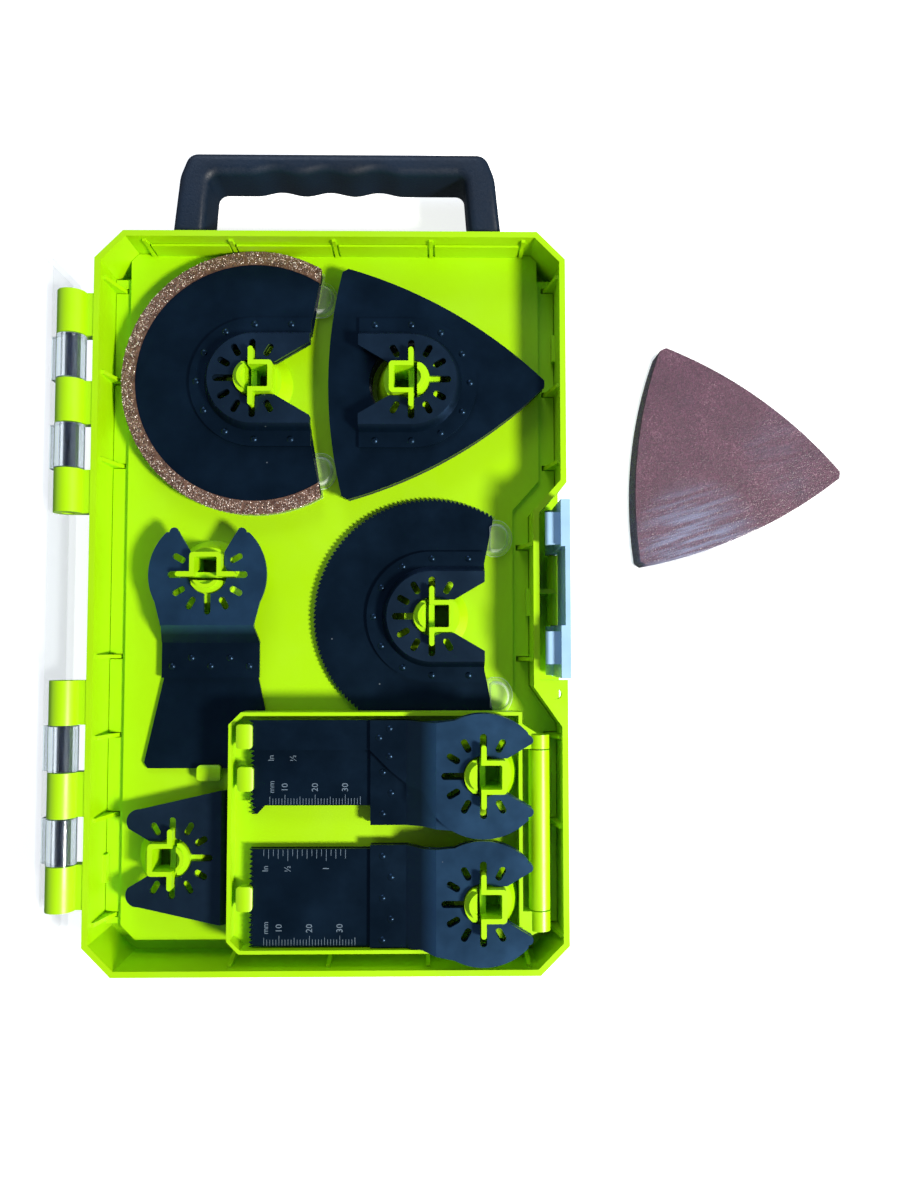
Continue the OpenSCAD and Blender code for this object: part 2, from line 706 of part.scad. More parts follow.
module plunge_under_plate() { plunge_plate_at(lower_at, 0, -25, 16, plunge_w / 2, plunge_w / 2, 0); }
module plunge_under_hub() { plunge_hub_at(lower_at, 0, tray_side, []); }
module plunge_top_plate() { plunge_plate_at(lower_at, 1, -25, 16, plunge_w / 2, plunge_w / 2, 0); }
module plunge_top_hub() { plunge_hub_at(lower_at, 1, tray_side, [-2 : 2]); }
module flared_plate() { plunge_plate_at(upper_at, 0, -33, 17, 11, 14.2, 2); }
module flared_hub() { plunge_hub_at(upper_at, 0, [0, 0], []); }
module bimetal_plate() { plunge_plate_at(upper_at, 1, -33, 17, 11, 11, 0); }
module bimetal_hub() { plunge_hub_at(upper_at, 1, [0, 0], [-2 : 0]); }

// Narrow blade along the upper side, with a slanted strap
module narrow_plate() {
    color(steel_black) place(upper_at, tray_blade_z + 2 * stack) linear_extrude(plate_t) translate([0, 12.4])
        toothed_plate_2d(-30, tip_x, 4.6, 4.9, 4.9, 0);
}

module narrow_hub() {
    color(steel_black) place(upper_at, tray_blade_z + 2 * stack + plate_t) {
        intersection() {
            linear_extrude(12) {
                round_hub_2d();
                difference() {
                    polygon([[-37, 7.5], [-37, 17.3], [-24, 17.3], [-16, 16.9], [-9, 17.8], [-9, -17.8], [-13, -15.2],
                             [-18, -6], [-24.6, -3.8], [-30, 0.5]]);
                    hub_openings_2d();
                }
            }
            rotate([90, 0, 0]) translate([0, 0, -30]) linear_extrude(60)
                polygon([[30, tray_rise], [-14.6, tray_rise], [-24.6, 0], [-37, 0], [-37, hub_t], [-25.2, hub_t],
                         [-15.2, tray_rise + hub_t], [30, tray_rise + hub_t]]);
        }
        for (p = [[-34, 11.6], [-30.6, 14.6], [-30.6, 5.6]]) dimple(p.x, p.y, hub_t);
    }
}

// ---- pack of sanding sheets, loose on the table ----
pack_at = [133.6, 47.8, -5.9];
sheet_circum = sheet_side / sqrt(3);

module sanding_sheets() {
    color("#7b4f58") place(pack_at, 0.25) for (i = [0 : sheets - 1])
        translate([0, 0, 1.2 * i]) linear_extrude(1.1) delta_2d(sheet_circum, 5);
}

module sheet_wrap() {
    high = 1.2 * sheets + 0.3;
    color(clear) place(pack_at) difference() {
        linear_extrude(high + 0.1) delta_2d(sheet_circum + 0.8, 5);
        translate([0, 0, 0.12]) linear_extrude(high - 0.12) delta_2d(sheet_circum + 0.45, 5);
    }
}

case_base();
insert_panel();
case_lid();
hinge_pin_upper();
hinge_pin_lower();
latch();
latch_pin();
handle();
tray();
tray_hinge_bar();
tray_hinge_pin();
grit_plate();
grit_rim();
grit_hub();
metal_segment_plate();
metal_segment_hub();
metal_segment_guard();
wood_segment_plate();
wood_segment_hub();
wood_segment_guard();
pad_hub();
pad_plate();
pad_foam();
pad_hook_layer();
scraper_plate();
scraper_hub();
flush_cut_plate();
flush_cut_hub();
plunge_under_plate();
plunge_under_hub();
plunge_top_plate();
plunge_top_hub();
flared_plate();
flared_hub();
bimetal_plate();
bimetal_hub();
narrow_plate();
narrow_hub();
sanding_sheets();
sheet_wrap();
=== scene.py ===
"""Carry case with the accessories of an oscillating multi-tool: finishes, fine detail and studio."""
import json
import math
import random

import bmesh
import bpy
from mathutils import Matrix, Vector, noise


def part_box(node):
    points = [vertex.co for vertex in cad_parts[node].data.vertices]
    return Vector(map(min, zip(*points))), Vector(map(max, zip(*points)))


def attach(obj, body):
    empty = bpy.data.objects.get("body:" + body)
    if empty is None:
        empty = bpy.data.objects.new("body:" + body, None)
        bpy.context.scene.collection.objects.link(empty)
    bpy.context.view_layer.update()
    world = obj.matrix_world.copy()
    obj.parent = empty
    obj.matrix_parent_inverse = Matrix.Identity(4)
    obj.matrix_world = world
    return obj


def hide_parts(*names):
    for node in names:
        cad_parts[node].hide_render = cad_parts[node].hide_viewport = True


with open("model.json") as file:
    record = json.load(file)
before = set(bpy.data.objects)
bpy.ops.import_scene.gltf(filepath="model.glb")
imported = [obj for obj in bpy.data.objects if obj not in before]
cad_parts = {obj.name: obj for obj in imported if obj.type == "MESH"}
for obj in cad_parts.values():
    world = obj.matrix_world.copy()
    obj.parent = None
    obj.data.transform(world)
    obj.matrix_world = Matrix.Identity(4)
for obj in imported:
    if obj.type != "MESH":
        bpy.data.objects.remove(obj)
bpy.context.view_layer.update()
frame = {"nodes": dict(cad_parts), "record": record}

bl_info = {
    "name": "Multi-tool accessory case",
    "version": (1, 0, 0),
    "blender": (4, 5, 0),
    "location": "View3D > Sidebar > Accessory case",
    "description": "Finishes and fine detail for a carry case of multi-tool blades, and its studio",
    "category": "Object",
}

MM = 0.001
NODES = frame["nodes"]

# plan of the sanding sheets: centre, turn in degrees, centre to corner, and how far each side bows out
SHEET_CENTRE = Vector((133.6 * MM, 47.8 * MM))
SHEET_TURN = -5.9
SHEET_CORNER = 45.95 * MM
SHEET_BOW = 5 * MM
# middle of the film's sealed edge, where the painted sheen on the film is strongest
FILM_SHEEN_CENTRE = (127 * MM, 18 * MM, 4.5 * MM)


# ---- small helpers ----
def linear(hex_code):
    """An sRGB hex value such as "#b4f000" as a linear RGBA colour."""
    levels = [int(hex_code[i:i + 2], 16) / 255 for i in (1, 3, 5)]
    return [v / 12.92 if v <= 0.04045 else ((v + 0.055) / 1.055) ** 2.4 for v in levels] + [1.0]


def srgb_default(hex_code):
    """A colour property's default, without alpha."""
    return tuple(linear(hex_code)[:3])


def with_alpha(colour):
    """A colour property's value as RGBA."""
    return (colour[0], colour[1], colour[2], 1.0)


def per_metre(size_mm):
    """Texture scale at which one cell of a pattern measures size_mm."""
    return 1000 / size_mm


def add_node(tree, kind, links=None, values=None, to=None, stops=(), **settings):
    """Adds a node with its settings, plain values and links, and returns it.

    links maps its inputs to output sockets, or to nodes for their first output. values maps its inputs
    to numbers or colours. to is an input that its first output feeds. stops are the positions and
    colours of a ramp.
    """
    node = tree.nodes.new(kind)
    for name, value in settings.items():
        setattr(node, name, value)
    for name, value in (values or {}).items():
        node.inputs[name].default_value = value
    for name, source in (links or {}).items():
        socket = source.outputs[0] if isinstance(source, bpy.types.Node) else source
        tree.links.new(socket, node.inputs[name])
    if stops:
        elements = node.color_ramp.elements
        while len(elements) < len(stops):
            elements.new(0.5)
        for element, (position, colour) in zip(elements, stops):
            element.position = position
            element.color = colour
    if to is not None:
        tree.links.new(node.outputs[0], to)
    return node


def new_material(name, **values):
    """A Principled material with plain values set on its shader.

    Returns the material, its tree, its shader and the object's own coordinates.
    """
    material = bpy.data.materials.new(name)
    material.use_nodes = True
    tree = material.node_tree
    shader = tree.nodes["Principled BSDF"]
    for socket, value in values.items():
        shader.inputs[socket.replace("_", " ")].default_value = value
    return material, tree, shader, add_node(tree, "ShaderNodeTexCoord").outputs["Object"]


def grey(value):
    """A plain grey as linear RGBA."""
    return (value, value, value, 1.0)


def scaled(colour, share):
    """The same colour, darker or lighter."""
    return (colour[0] * share, colour[1] * share, colour[2] * share, 1.0)


def finish_nodes(material, *names):
    """Gives CAD nodes this material in every slot."""
    for name in names:
        mesh = NODES[name].data
        if not mesh.materials:
            mesh.materials.append(material)
        for index in range(len(mesh.materials)):
            mesh.materials[index] = material


def round_edges(name, width_mm, angle=40):
    """Rounds a CAD node's sharp edges as its mould or press would. Edges under the angle stay."""
    modifier = NODES[name].modifiers.new("edge", "BEVEL")
    modifier.width = width_mm * MM
    modifier.segments = 2
    modifier.limit_method = "ANGLE"
    modifier.angle_limit = math.radians(angle)
    modifier.harden_normals = False


def new_piece(name, mesh, body, material, smooth_angle=None):
    """A finished mesh as an object that rides on a body and takes its finish from a slot.

    With a smooth_angle, its faces are smooth except where they meet at more than that.
    """
    mesh.materials.append(material)
    piece = bpy.data.objects.new(name, mesh)
    bpy.context.scene.collection.objects.link(piece)
    if smooth_angle is not None:
        mesh.polygons.foreach_set("use_smooth", [True] * len(mesh.polygons))
        mesh.set_sharp_from_angle(angle=math.radians(smooth_angle))
    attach(piece, body)
    return piece


def mesh_from(form, name):
    """The built form as a mesh. The form is used up."""
    mesh = bpy.data.meshes.new(name)
    form.to_mesh(mesh)
    form.free()
    return mesh


# ---- sizes and colours a user would change ----
def colour_property(name, description, hex_code):
    return bpy.props.FloatVectorProperty(name=name, description=description, subtype="COLOR", size=3,
                                         min=0.0, max=1.0, default=srgb_default(hex_code))


def length_property(name, description, default_mm):
    return bpy.props.FloatProperty(name=name, description=description, default=default_mm * MM,
                                   unit="LENGTH", min=0.0)


class CaseSettings(bpy.types.PropertyGroup):
    """Colours and edge sizes of the case, tray, hinge, latch and handle."""

    plastic: colour_property("Case plastic", "Colour of the base, insert and tray", "#a8e000")
    handle: colour_property("Handle", "Colour of the carrying handle", "#06192c")
    latch: colour_property("Latch", "Colour of the latch", "#a4cdec")
    pins: colour_property("Hinge pins", "Colour of the hinge pins", "#0a1430")
    edge: length_property("Moulded edge", "Width of the rounding on moulded edges", 0.35)
    handle_edge: length_property("Handle edge", "Radius of the handle's rounded edges", 3.0)


class BladeSettings(bpy.types.PropertyGroup):
    """Finishes of the blades' steel and grit, and the size of their scale marks."""

    coating: colour_property("Blade coating", "Colour of the blued steel", "#17324b")
    grit: colour_property("Grit", "Colour of the brazed carbide grit", "#9c8378")
    ink: colour_property("Scale marks", "Colour of the etched scales", "#74889a")
    grain: length_property("Grain size", "Size of one grain of carbide", 0.58)
    mark_width: length_property("Mark width", "Width of a line on the scales", 0.16)
    mark_height: length_property("Mark height", "How far the marks stand proud of the plate", 0.02)


class SandingSettings(bpy.types.PropertyGroup):
    """Finishes of the delta pad and of the pack of sheets."""

    abrasive: colour_property("Abrasive", "Colour of the sanding sheets", "#563042")
    film_wrinkle: length_property("Film wrinkle", "Height of the wrinkles in the shrink film", 0.12)


class StudioSettings(bpy.types.PropertyGroup):
    """Floor, lights and camera."""

    floor: colour_property("Floor", "Colour of the floor", "#f4f5f6")
    key: bpy.props.FloatProperty(name="Key light", description="Power of the key light", default=29.0,
                                 unit="POWER", min=0.0)
    rim: bpy.props.FloatProperty(name="Rim light", description="Power of the light from behind the handle",
                                 default=4.0, unit="POWER", min=0.0)
    fill: bpy.props.FloatProperty(name="Fill light", description="Strength of the light from all round",
                                  default=0.52, min=0.0)
    glow: bpy.props.FloatProperty(name="Floor glow", description="Light that the floor gives of its own",
                                  default=0.8, min=0.0)
    lens: bpy.props.FloatProperty(name="Lens", description="Focal length in millimetres", default=27.9,
                                  min=10.0)


# ---- materials ----
def upright_share(tree, level, upright, to=None):
    """One value on level faces, another on upright ones, so that a clear part shows by its walls."""
    level_from, upright_to = 0.97, 0.35
    surface = add_node(tree, "ShaderNodeNewGeometry")
    facing = add_node(tree, "ShaderNodeSeparateXYZ", {"Vector": surface.outputs["True Normal"]})
    tilt = add_node(tree, "ShaderNodeMath", {0: facing.outputs["Z"]}, operation="ABSOLUTE")
    return add_node(tree, "ShaderNodeMapRange", {"Value": tilt},
                    {"From Min": level_from, "From Max": upright_to, "To Min": level,
                     "To Max": upright}, to=to)


def draw_lines(tree, place, width_mm):
    """Fine lines along a pin, fifty times as long as they are wide, as its die left them."""
    stretch = add_node(tree, "ShaderNodeMapping", {"Vector": place}, {"Scale": (1.0, 0.02, 1.0)})
    return add_node(tree, "ShaderNodeTexNoise", {"Vector": stretch},
                    {"Scale": per_metre(width_mm), "Detail": 2.0})


def lime_polypropylene():
    """Polypropylene, injection moulded in a spark-eroded tool: saturated, soft sheen, faint grain."""
    settings = bpy.context.scene.case_settings
    material, tree, shader, place = new_material("lime_polypropylene", IOR=1.49)
    # colour drifts slightly where the melt flowed
    base = with_alpha(settings.plastic)
    flow = add_node(tree, "ShaderNodeTexNoise", {"Vector": place},
                    {"Scale": per_metre(60), "Detail": 2.0})
    add_node(tree, "ShaderNodeValToRGB", {"Fac": flow}, to=shader.inputs["Base Color"],
             stops=((0.3, scaled(base, 0.94)), (0.7, base)))
    # spark-eroded grain is about 0.25 mm; drawn at 0.6 mm so that it shows
    grain = add_node(tree, "ShaderNodeTexNoise", {"Vector": place},
                     {"Scale": per_metre(0.6), "Detail": 3.0})
    add_node(tree, "ShaderNodeBump", {"Height": grain}, {"Distance": 0.015 * MM, "Strength": 0.5},
             to=shader.inputs["Normal"])
    # handling polishes it in places
    handled = add_node(tree, "ShaderNodeTexNoise", {"Vector": place},
                       {"Scale": per_metre(22), "Detail": 5.0, "Roughness": 0.65})
    add_node(tree, "ShaderNodeMapRange", {"Value": handled},
             {"From Min": 0.35, "From Max": 0.7, "To Min": 0.3, "To Max": 0.46},
             to=shader.inputs["Roughness"])
    return material


def clear_polycarbonate():
    """Polycarbonate, moulded and polished: water-clear with a cool edge and a hard gloss."""
    material, tree, shader, place = new_material(
        "clear_polycarbonate", Base_Color=linear("#dfeaf2"), IOR=1.58, Transmission_Weight=1.0)
    ripple = add_node(tree, "ShaderNodeTexNoise", {"Vector": place},
                      {"Scale": per_metre(9), "Detail": 2.0})
    add_node(tree, "ShaderNodeBump", {"Height": ripple}, {"Distance": 0.12 * MM, "Strength": 0.35},
             to=shader.inputs["Normal"])
    haze = add_node(tree, "ShaderNodeTexNoise", {"Vector": place},
                    {"Scale": per_metre(14), "Detail": 4.0})
    add_node(tree, "ShaderNodeMapRange", {"Value": haze},
             {"From Min": 0.3, "From Max": 0.8, "To Min": 0.03, "To Max": 0.14},
             to=shader.inputs["Roughness"])
    return material


def clear_lid_sheet():
    """The lid's thin polycarbonate wall: almost invisible over white, with a cool film of gloss."""
    material, tree, shader, place = new_material(
        "clear_lid_sheet", Base_Color=linear("#d3dde6"), IOR=1.58)
    upright_share(tree, 0.015, 0.16, to=shader.inputs["Alpha"])
    haze = add_node(tree, "ShaderNodeTexNoise", {"Vector": place},
                    {"Scale": per_metre(30), "Detail": 4.0})
    add_node(tree, "ShaderNodeMapRange", {"Value": haze},
             {"From Min": 0.3, "From Max": 0.8, "To Min": 0.05, "To Max": 0.2},
             to=shader.inputs["Roughness"])
    return material


def thermoformed_pet():
    """PET film, thermoformed: thin, glossy, with a draw ripple that catches the light."""
    material, tree, shader, place = new_material(
        "thermoformed_pet", Base_Color=linear("#eef6f4"), IOR=1.57)
    upright_share(tree, 0.04, 0.55, to=shader.inputs["Alpha"])
    ripple = add_node(tree, "ShaderNodeTexNoise", {"Vector": place},
                      {"Scale": per_metre(3.5), "Detail": 2.0})
    add_node(tree, "ShaderNodeBump", {"Height": ripple}, {"Distance": 0.15 * MM, "Strength": 0.5},
             to=shader.inputs["Normal"])
    add_node(tree, "ShaderNodeMapRange", {"Value": ripple},
             {"From Min": 0.3, "From Max": 0.7, "To Min": 0.02, "To Max": 0.07},
             to=shader.inputs["Roughness"])
    return material


def blued_steel(name, lift, top_highlight=1.0):
    """Carbon tool steel, blued and oiled: blue-black, with a satin gloss and soft clouds of oxide.

    lift brightens the whole part. The third argument paints a highlight on its upper parts, lighter the
    higher they stand in the part, for the light that the tops and slopes of pressed hubs catch.
    """
    settings = bpy.context.scene.blade_settings
    material, tree, shader, place = new_material(name, Metallic=0.8)
    base = scaled(settings.coating, lift)
    # the bluing bath leaves soft clouds
    cloud = add_node(tree, "ShaderNodeTexNoise", {"Vector": place},
                     {"Scale": per_metre(16), "Detail": 4.0, "Roughness": 0.6})
    body = add_node(tree, "ShaderNodeValToRGB", {"Fac": cloud},
                    stops=((0.3, scaled(base, 0.8)), (0.7, scaled(base, 1.15)))).outputs["Color"]
    # painted highlight: the upper part of each hub, by its height within its own bounds, is lightened
    # towards a paler blue for the light its top and slopes catch
    if top_highlight > 1:
        height = add_node(tree, "ShaderNodeTexCoord").outputs["Generated"]
        relief = add_node(tree, "ShaderNodeSeparateXYZ", {"Vector": height})
        highlight_share = add_node(tree, "ShaderNodeMapRange", {"Value": relief.outputs["Z"]},
                          {"From Min": 0.55, "From Max": 0.95, "To Min": 0.0, "To Max": 1.0})
        highlight_tone = [level * top_highlight + 0.009 for level in base[:3]]
        polish = add_node(tree, "ShaderNodeValToRGB", {"Fac": cloud},
                          stops=((0.3, scaled(highlight_tone, 0.85)), (0.7, scaled(highlight_tone, 1.15))))
        body = add_node(tree, "ShaderNodeMix", {"Factor": highlight_share, 6: body, 7: polish},
                        data_type="RGBA").outputs[2]
    # specks of dust under 0.7 mm across, at most one to a cell of 5.5 mm and none in most cells
    speck = add_node(tree, "ShaderNodeTexVoronoi", {"Vector": place}, {"Scale": per_metre(5.5)})
    dust = add_node(tree, "ShaderNodeValToRGB", {"Fac": speck.outputs["Distance"]},
                    stops=((0.0, grey(1)), (0.035, grey(1)), (0.06, grey(0))))
    pick = add_node(tree, "ShaderNodeSeparateColor", {"Color": speck.outputs["Color"]})
    few = add_node(tree, "ShaderNodeValToRGB", {"Fac": pick.outputs["Red"]},
                   stops=((0.86, grey(0)), (0.9, grey(0.55))))
    shown = add_node(tree, "ShaderNodeMath", {0: dust, 1: few}, operation="MULTIPLY")
    mixed = add_node(tree, "ShaderNodeMix", {"Factor": shown, 6: body}, {7: linear("#b9c8d6")},
                     data_type="RGBA")
    tree.links.new(mixed.outputs[2], shader.inputs["Base Color"])
    # orange peel in the oxide
    peel = add_node(tree, "ShaderNodeTexNoise", {"Vector": place},
                    {"Scale": per_metre(0.5), "Detail": 3.0})
    add_node(tree, "ShaderNodeBump", {"Height": peel}, {"Distance": 0.012 * MM, "Strength": 0.5},
             to=shader.inputs["Normal"])
    add_node(tree, "ShaderNodeMapRange", {"Value": cloud},
             {"From Min": 0.3, "From Max": 0.75, "To Min": 0.28, "To Max": 0.4},
             to=shader.inputs["Roughness"])
    return material


def brazed_carbide():
    """Tungsten-carbide grit brazed on with copper: coarse, sparkling, copper-brown."""
    settings = bpy.context.scene.blade_settings
    material, tree, shader, place = new_material("brazed_carbide", Metallic=0.3)
    base = with_alpha(settings.grit)
    # every grain is broken on its own, so each takes its own shade
    grain = add_node(tree, "ShaderNodeNewGeometry").outputs["Random Per Island"]
    add_node(tree, "ShaderNodeValToRGB", {"Fac": grain}, to=shader.inputs["Base Color"],
             stops=((0.0, scaled(base, 0.12)), (0.3, scaled(base, 0.5)), (0.62, base),
                    (0.85, linear("#cdb9ae")), (1.0, linear("#f2e8e2"))))
    facets = add_node(tree, "ShaderNodeTexNoise", {"Vector": place},
                      {"Scale": per_metre(0.3), "Detail": 2.0})
    add_node(tree, "ShaderNodeBump", {"Height": facets}, {"Distance": 0.06 * MM, "Strength": 0.6},
             to=shader.inputs["Normal"])
    add_node(tree, "ShaderNodeMapRange", {"Value": grain},
             {"From Min": 0.0, "From Max": 1.0, "To Min": 0.6, "To Max": 0.3},
             to=shader.inputs["Roughness"])
    return material


def braze_copper():
    """The copper braze that holds the grit: dull, warm, slightly flowed."""
    material, tree, shader, place = new_material("braze_copper", Metallic=0.6, Roughness=0.5)
    flow = add_node(tree, "ShaderNodeTexNoise", {"Vector": place},
                    {"Scale": per_metre(1.6), "Detail": 3.0})
    add_node(tree, "ShaderNodeValToRGB", {"Fac": flow}, to=shader.inputs["Base Color"],
             stops=((0.3, linear("#5c4238")), (0.7, linear("#94705f"))))
    add_node(tree, "ShaderNodeBump", {"Height": flow}, {"Distance": 0.08 * MM, "Strength": 0.6},
             to=shader.inputs["Normal"])
    return material


def textured_nylon():
    """Glass-filled nylon, moulded in an etched tool: blue-black with a fine leather-like grain."""
    settings = bpy.context.scene.case_settings
    material, tree, shader, place = new_material("textured_nylon", IOR=1.53, Specular_IOR_Level=0.4)
    base = with_alpha(settings.handle)
    cloud = add_node(tree, "ShaderNodeTexNoise", {"Vector": place},
                     {"Scale": per_metre(18), "Detail": 3.0})
    add_node(tree, "ShaderNodeValToRGB", {"Fac": cloud}, to=shader.inputs["Base Color"],
             stops=((0.3, scaled(base, 0.8)), (0.7, scaled(base, 1.3))))
    # the etched grain is about 0.5 mm; drawn at 1 mm so that it shows
    pits = add_node(tree, "ShaderNodeTexNoise", {"Vector": place},
                    {"Scale": per_metre(1.0), "Detail": 4.0, "Roughness": 0.65})
    add_node(tree, "ShaderNodeBump", {"Height": pits}, {"Distance": 0.16 * MM, "Strength": 0.7},
             to=shader.inputs["Normal"])
    add_node(tree, "ShaderNodeMapRange", {"Value": pits},
             {"From Min": 0.3, "From Max": 0.7, "To Min": 0.42, "To Max": 0.62},
             to=shader.inputs["Roughness"])
    return material


def latch_abs():
    """ABS, moulded: pale grey-blue, soft gloss, handled to a faint polish."""
    settings = bpy.context.scene.case_settings
    material, tree, shader, place = new_material("latch_abs", IOR=1.52)
    base = with_alpha(settings.latch)
    rub = add_node(tree, "ShaderNodeTexNoise", {"Vector": place},
                   {"Scale": per_metre(7), "Detail": 4.0})
    add_node(tree, "ShaderNodeValToRGB", {"Fac": rub}, to=shader.inputs["Base Color"],
             stops=((0.3, scaled(base, 0.9)), (0.7, base)))
    add_node(tree, "ShaderNodeMapRange", {"Value": rub},
             {"From Min": 0.3, "From Max": 0.7, "To Min": 0.28, "To Max": 0.45},
             to=shader.inputs["Roughness"])
    return material


def pin_nylon():
    """Dark blue nylon rod, extruded: smooth with lengthwise draw lines."""
    settings = bpy.context.scene.case_settings
    material, tree, shader, place = new_material("pin_nylon", IOR=1.53)
    base = with_alpha(settings.pins)
    lines = draw_lines(tree, place, 0.6)
    add_node(tree, "ShaderNodeValToRGB", {"Fac": lines}, to=shader.inputs["Base Color"],
             stops=((0.3, scaled(base, 0.8)), (0.7, scaled(base, 1.4))))
    add_node(tree, "ShaderNodeMapRange", {"Value": lines},
             {"From Min": 0.3, "From Max": 0.7, "To Min": 0.25, "To Max": 0.4},
             to=shader.inputs["Roughness"])
    return material


def bright_steel():
    """Drawn steel wire: bright, with fine lines along the pull."""
    material, tree, shader, place = new_material("bright_steel", Metallic=1.0)
    lines = draw_lines(tree, place, 0.4)
    add_node(tree, "ShaderNodeValToRGB", {"Fac": lines}, to=shader.inputs["Base Color"],
             stops=((0.3, linear("#7b8087")), (0.7, linear("#a3a8ae"))))
    add_node(tree, "ShaderNodeMapRange", {"Value": lines},
             {"From Min": 0.3, "From Max": 0.7, "To Min": 0.25, "To Max": 0.4},
             to=shader.inputs["Roughness"])
    return material


def sponge_rubber():
    """Closed-cell EVA foam, die cut: matt black, with small cells laid open on its edge."""
    material, tree, shader, place = new_material("sponge_rubber", IOR=1.45, Roughness=0.85)
    cells = add_node(tree, "ShaderNodeTexVoronoi", {"Vector": place}, {"Scale": per_metre(0.7)})
    add_node(tree, "ShaderNodeValToRGB", {"Fac": cells}, to=shader.inputs["Base Color"],
             stops=((0.1, linear("#0c0f13")), (0.6, linear("#262c34"))))
    add_node(tree, "ShaderNodeBump", {"Height": cells}, {"Distance": 0.15 * MM, "Strength": 1.0},
             to=shader.inputs["Normal"])
    return material


def hook_tape():
    """Woven nylon hook tape: black, with rows of small hooks 1 mm apart."""
    material, tree, shader, place = new_material("hook_tape", Roughness=0.75, Sheen_Weight=0.3)
    hooks = add_node(tree, "ShaderNodeTexVoronoi", {"Vector": place},
                     {"Scale": per_metre(1.0), "Randomness": 0.35})
    add_node(tree, "ShaderNodeValToRGB", {"Fac": hooks}, to=shader.inputs["Base Color"],
             stops=((0.15, linear("#3a4048")), (0.5, linear("#0b0d10"))))
    add_node(tree, "ShaderNodeBump", {"Height": hooks}, {"Distance": -0.3 * MM, "Strength": 1.0},
             to=shader.inputs["Normal"])
    return material


def aluminium_oxide_cloth():
    """Aluminium-oxide grit bonded on cloth: plum-brown, with sharp grains that glint singly."""
    settings = bpy.context.scene.sanding_settings
    material, tree, shader, place = new_material("aluminium_oxide_cloth", IOR=1.6)
    base = with_alpha(settings.abrasive)
    # 60 grit is about 0.27 mm; drawn at 0.42 mm so that it shows
    cell = add_node(tree, "ShaderNodeTexVoronoi", {"Vector": place}, {"Scale": per_metre(0.42)})
    pick = add_node(tree, "ShaderNodeSeparateColor", {"Color": cell.outputs["Color"]})
    cloud = add_node(tree, "ShaderNodeTexNoise", {"Vector": place},
                     {"Scale": per_metre(14), "Detail": 4.0})
    shade = add_node(tree, "ShaderNodeMath", {0: pick.outputs["Green"], 1: cloud}, operation="ADD")
    spread = add_node(tree, "ShaderNodeMapRange", {"Value": shade},
                      {"From Min": 0.2, "From Max": 1.8, "To Min": 0.0, "To Max": 1.0})
    add_node(tree, "ShaderNodeValToRGB", {"Fac": spread}, to=shader.inputs["Base Color"],
             stops=((0.0, scaled(base, 0.45)), (0.5, scaled(base, 0.9)), (0.78, scaled(base, 1.35)),
                    (1.0, linear("#94707c"))))
    add_node(tree, "ShaderNodeBump", {"Height": cell}, {"Distance": 0.2 * MM, "Strength": 0.7},
             to=shader.inputs["Normal"])
    add_node(tree, "ShaderNodeMapRange", {"Value": pick.outputs["Blue"]},
             {"From Min": 0.0, "From Max": 1.0, "To Min": 0.3, "To Max": 0.8},
             to=shader.inputs["Roughness"])
    return material


def shrink_film():
    """Polyolefin film, heat shrunk: clear, drawn tight, with pulled wrinkles; their flash is painted as
    whitish, more opaque streaks.
    """
    material, tree, shader, place = new_material(
        "shrink_film", Base_Color=linear("#a9b4d8"), IOR=1.5)
    # the wrinkles are about 1.5 mm wide and run some 20 mm across the pack
    turned = add_node(tree, "ShaderNodeVectorRotate", {"Vector": place}, {"Angle": -0.3})
    drawn = add_node(tree, "ShaderNodeMapping", {"Vector": turned}, {"Scale": (0.07, 1.0, 1.0)})
    pulls = add_node(tree, "ShaderNodeTexNoise", {"Vector": drawn},
                     {"Scale": per_metre(1.5), "Detail": 4.0, "Roughness": 0.6})
    # painted sheen: the film turns whitish and more opaque along its wrinkles, most towards its sealed
    # lower edge and in a few loose patches, for the light the drawn film catches there
    seal = add_node(tree, "ShaderNodeVectorMath", {0: place}, {1: FILM_SHEEN_CENTRE}, operation="DISTANCE")
    near = add_node(tree, "ShaderNodeMapRange", {"Value": seal.outputs["Value"]},
                    {"From Min": 26 * MM, "From Max": 6 * MM, "To Min": 0.0, "To Max": 1.0})
    drift = add_node(tree, "ShaderNodeTexNoise", {"Vector": place},
                     {"Scale": per_metre(26), "Detail": 2.0})
    patches = add_node(tree, "ShaderNodeMapRange", {"Value": drift},
                       {"From Min": 0.5, "From Max": 0.7, "To Min": 0.0, "To Max": 0.16})
    where = add_node(tree, "ShaderNodeMath", {0: near, 1: patches}, operation="MAXIMUM")
    folds = add_node(tree, "ShaderNodeMapRange", {"Value": pulls},
                     {"From Min": 0.4, "From Max": 0.62, "To Min": 0.15, "To Max": 1.0})
    sheen_streaks = add_node(tree, "ShaderNodeMath", {0: folds, 1: where}, operation="MULTIPLY")
    painted_sheen = add_node(tree, "ShaderNodeMapRange", {"Value": sheen_streaks},
                     {"From Min": 0.0, "From Max": 1.0, "To Min": 0.03, "To Max": 0.62})
    add_node(tree, "ShaderNodeMath", {0: painted_sheen, 1: upright_share(tree, 0.0, 0.22)},
             to=shader.inputs["Alpha"], operation="MAXIMUM")
    add_node(tree, "ShaderNodeBump", {"Height": pulls}, {"Distance": 0.35 * MM, "Strength": 0.8},
             to=shader.inputs["Normal"])
    add_node(tree, "ShaderNodeMapRange", {"Value": pulls},
             {"From Min": 0.3, "From Max": 0.7, "To Min": 0.06, "To Max": 0.22},
             to=shader.inputs["Roughness"])
    return material


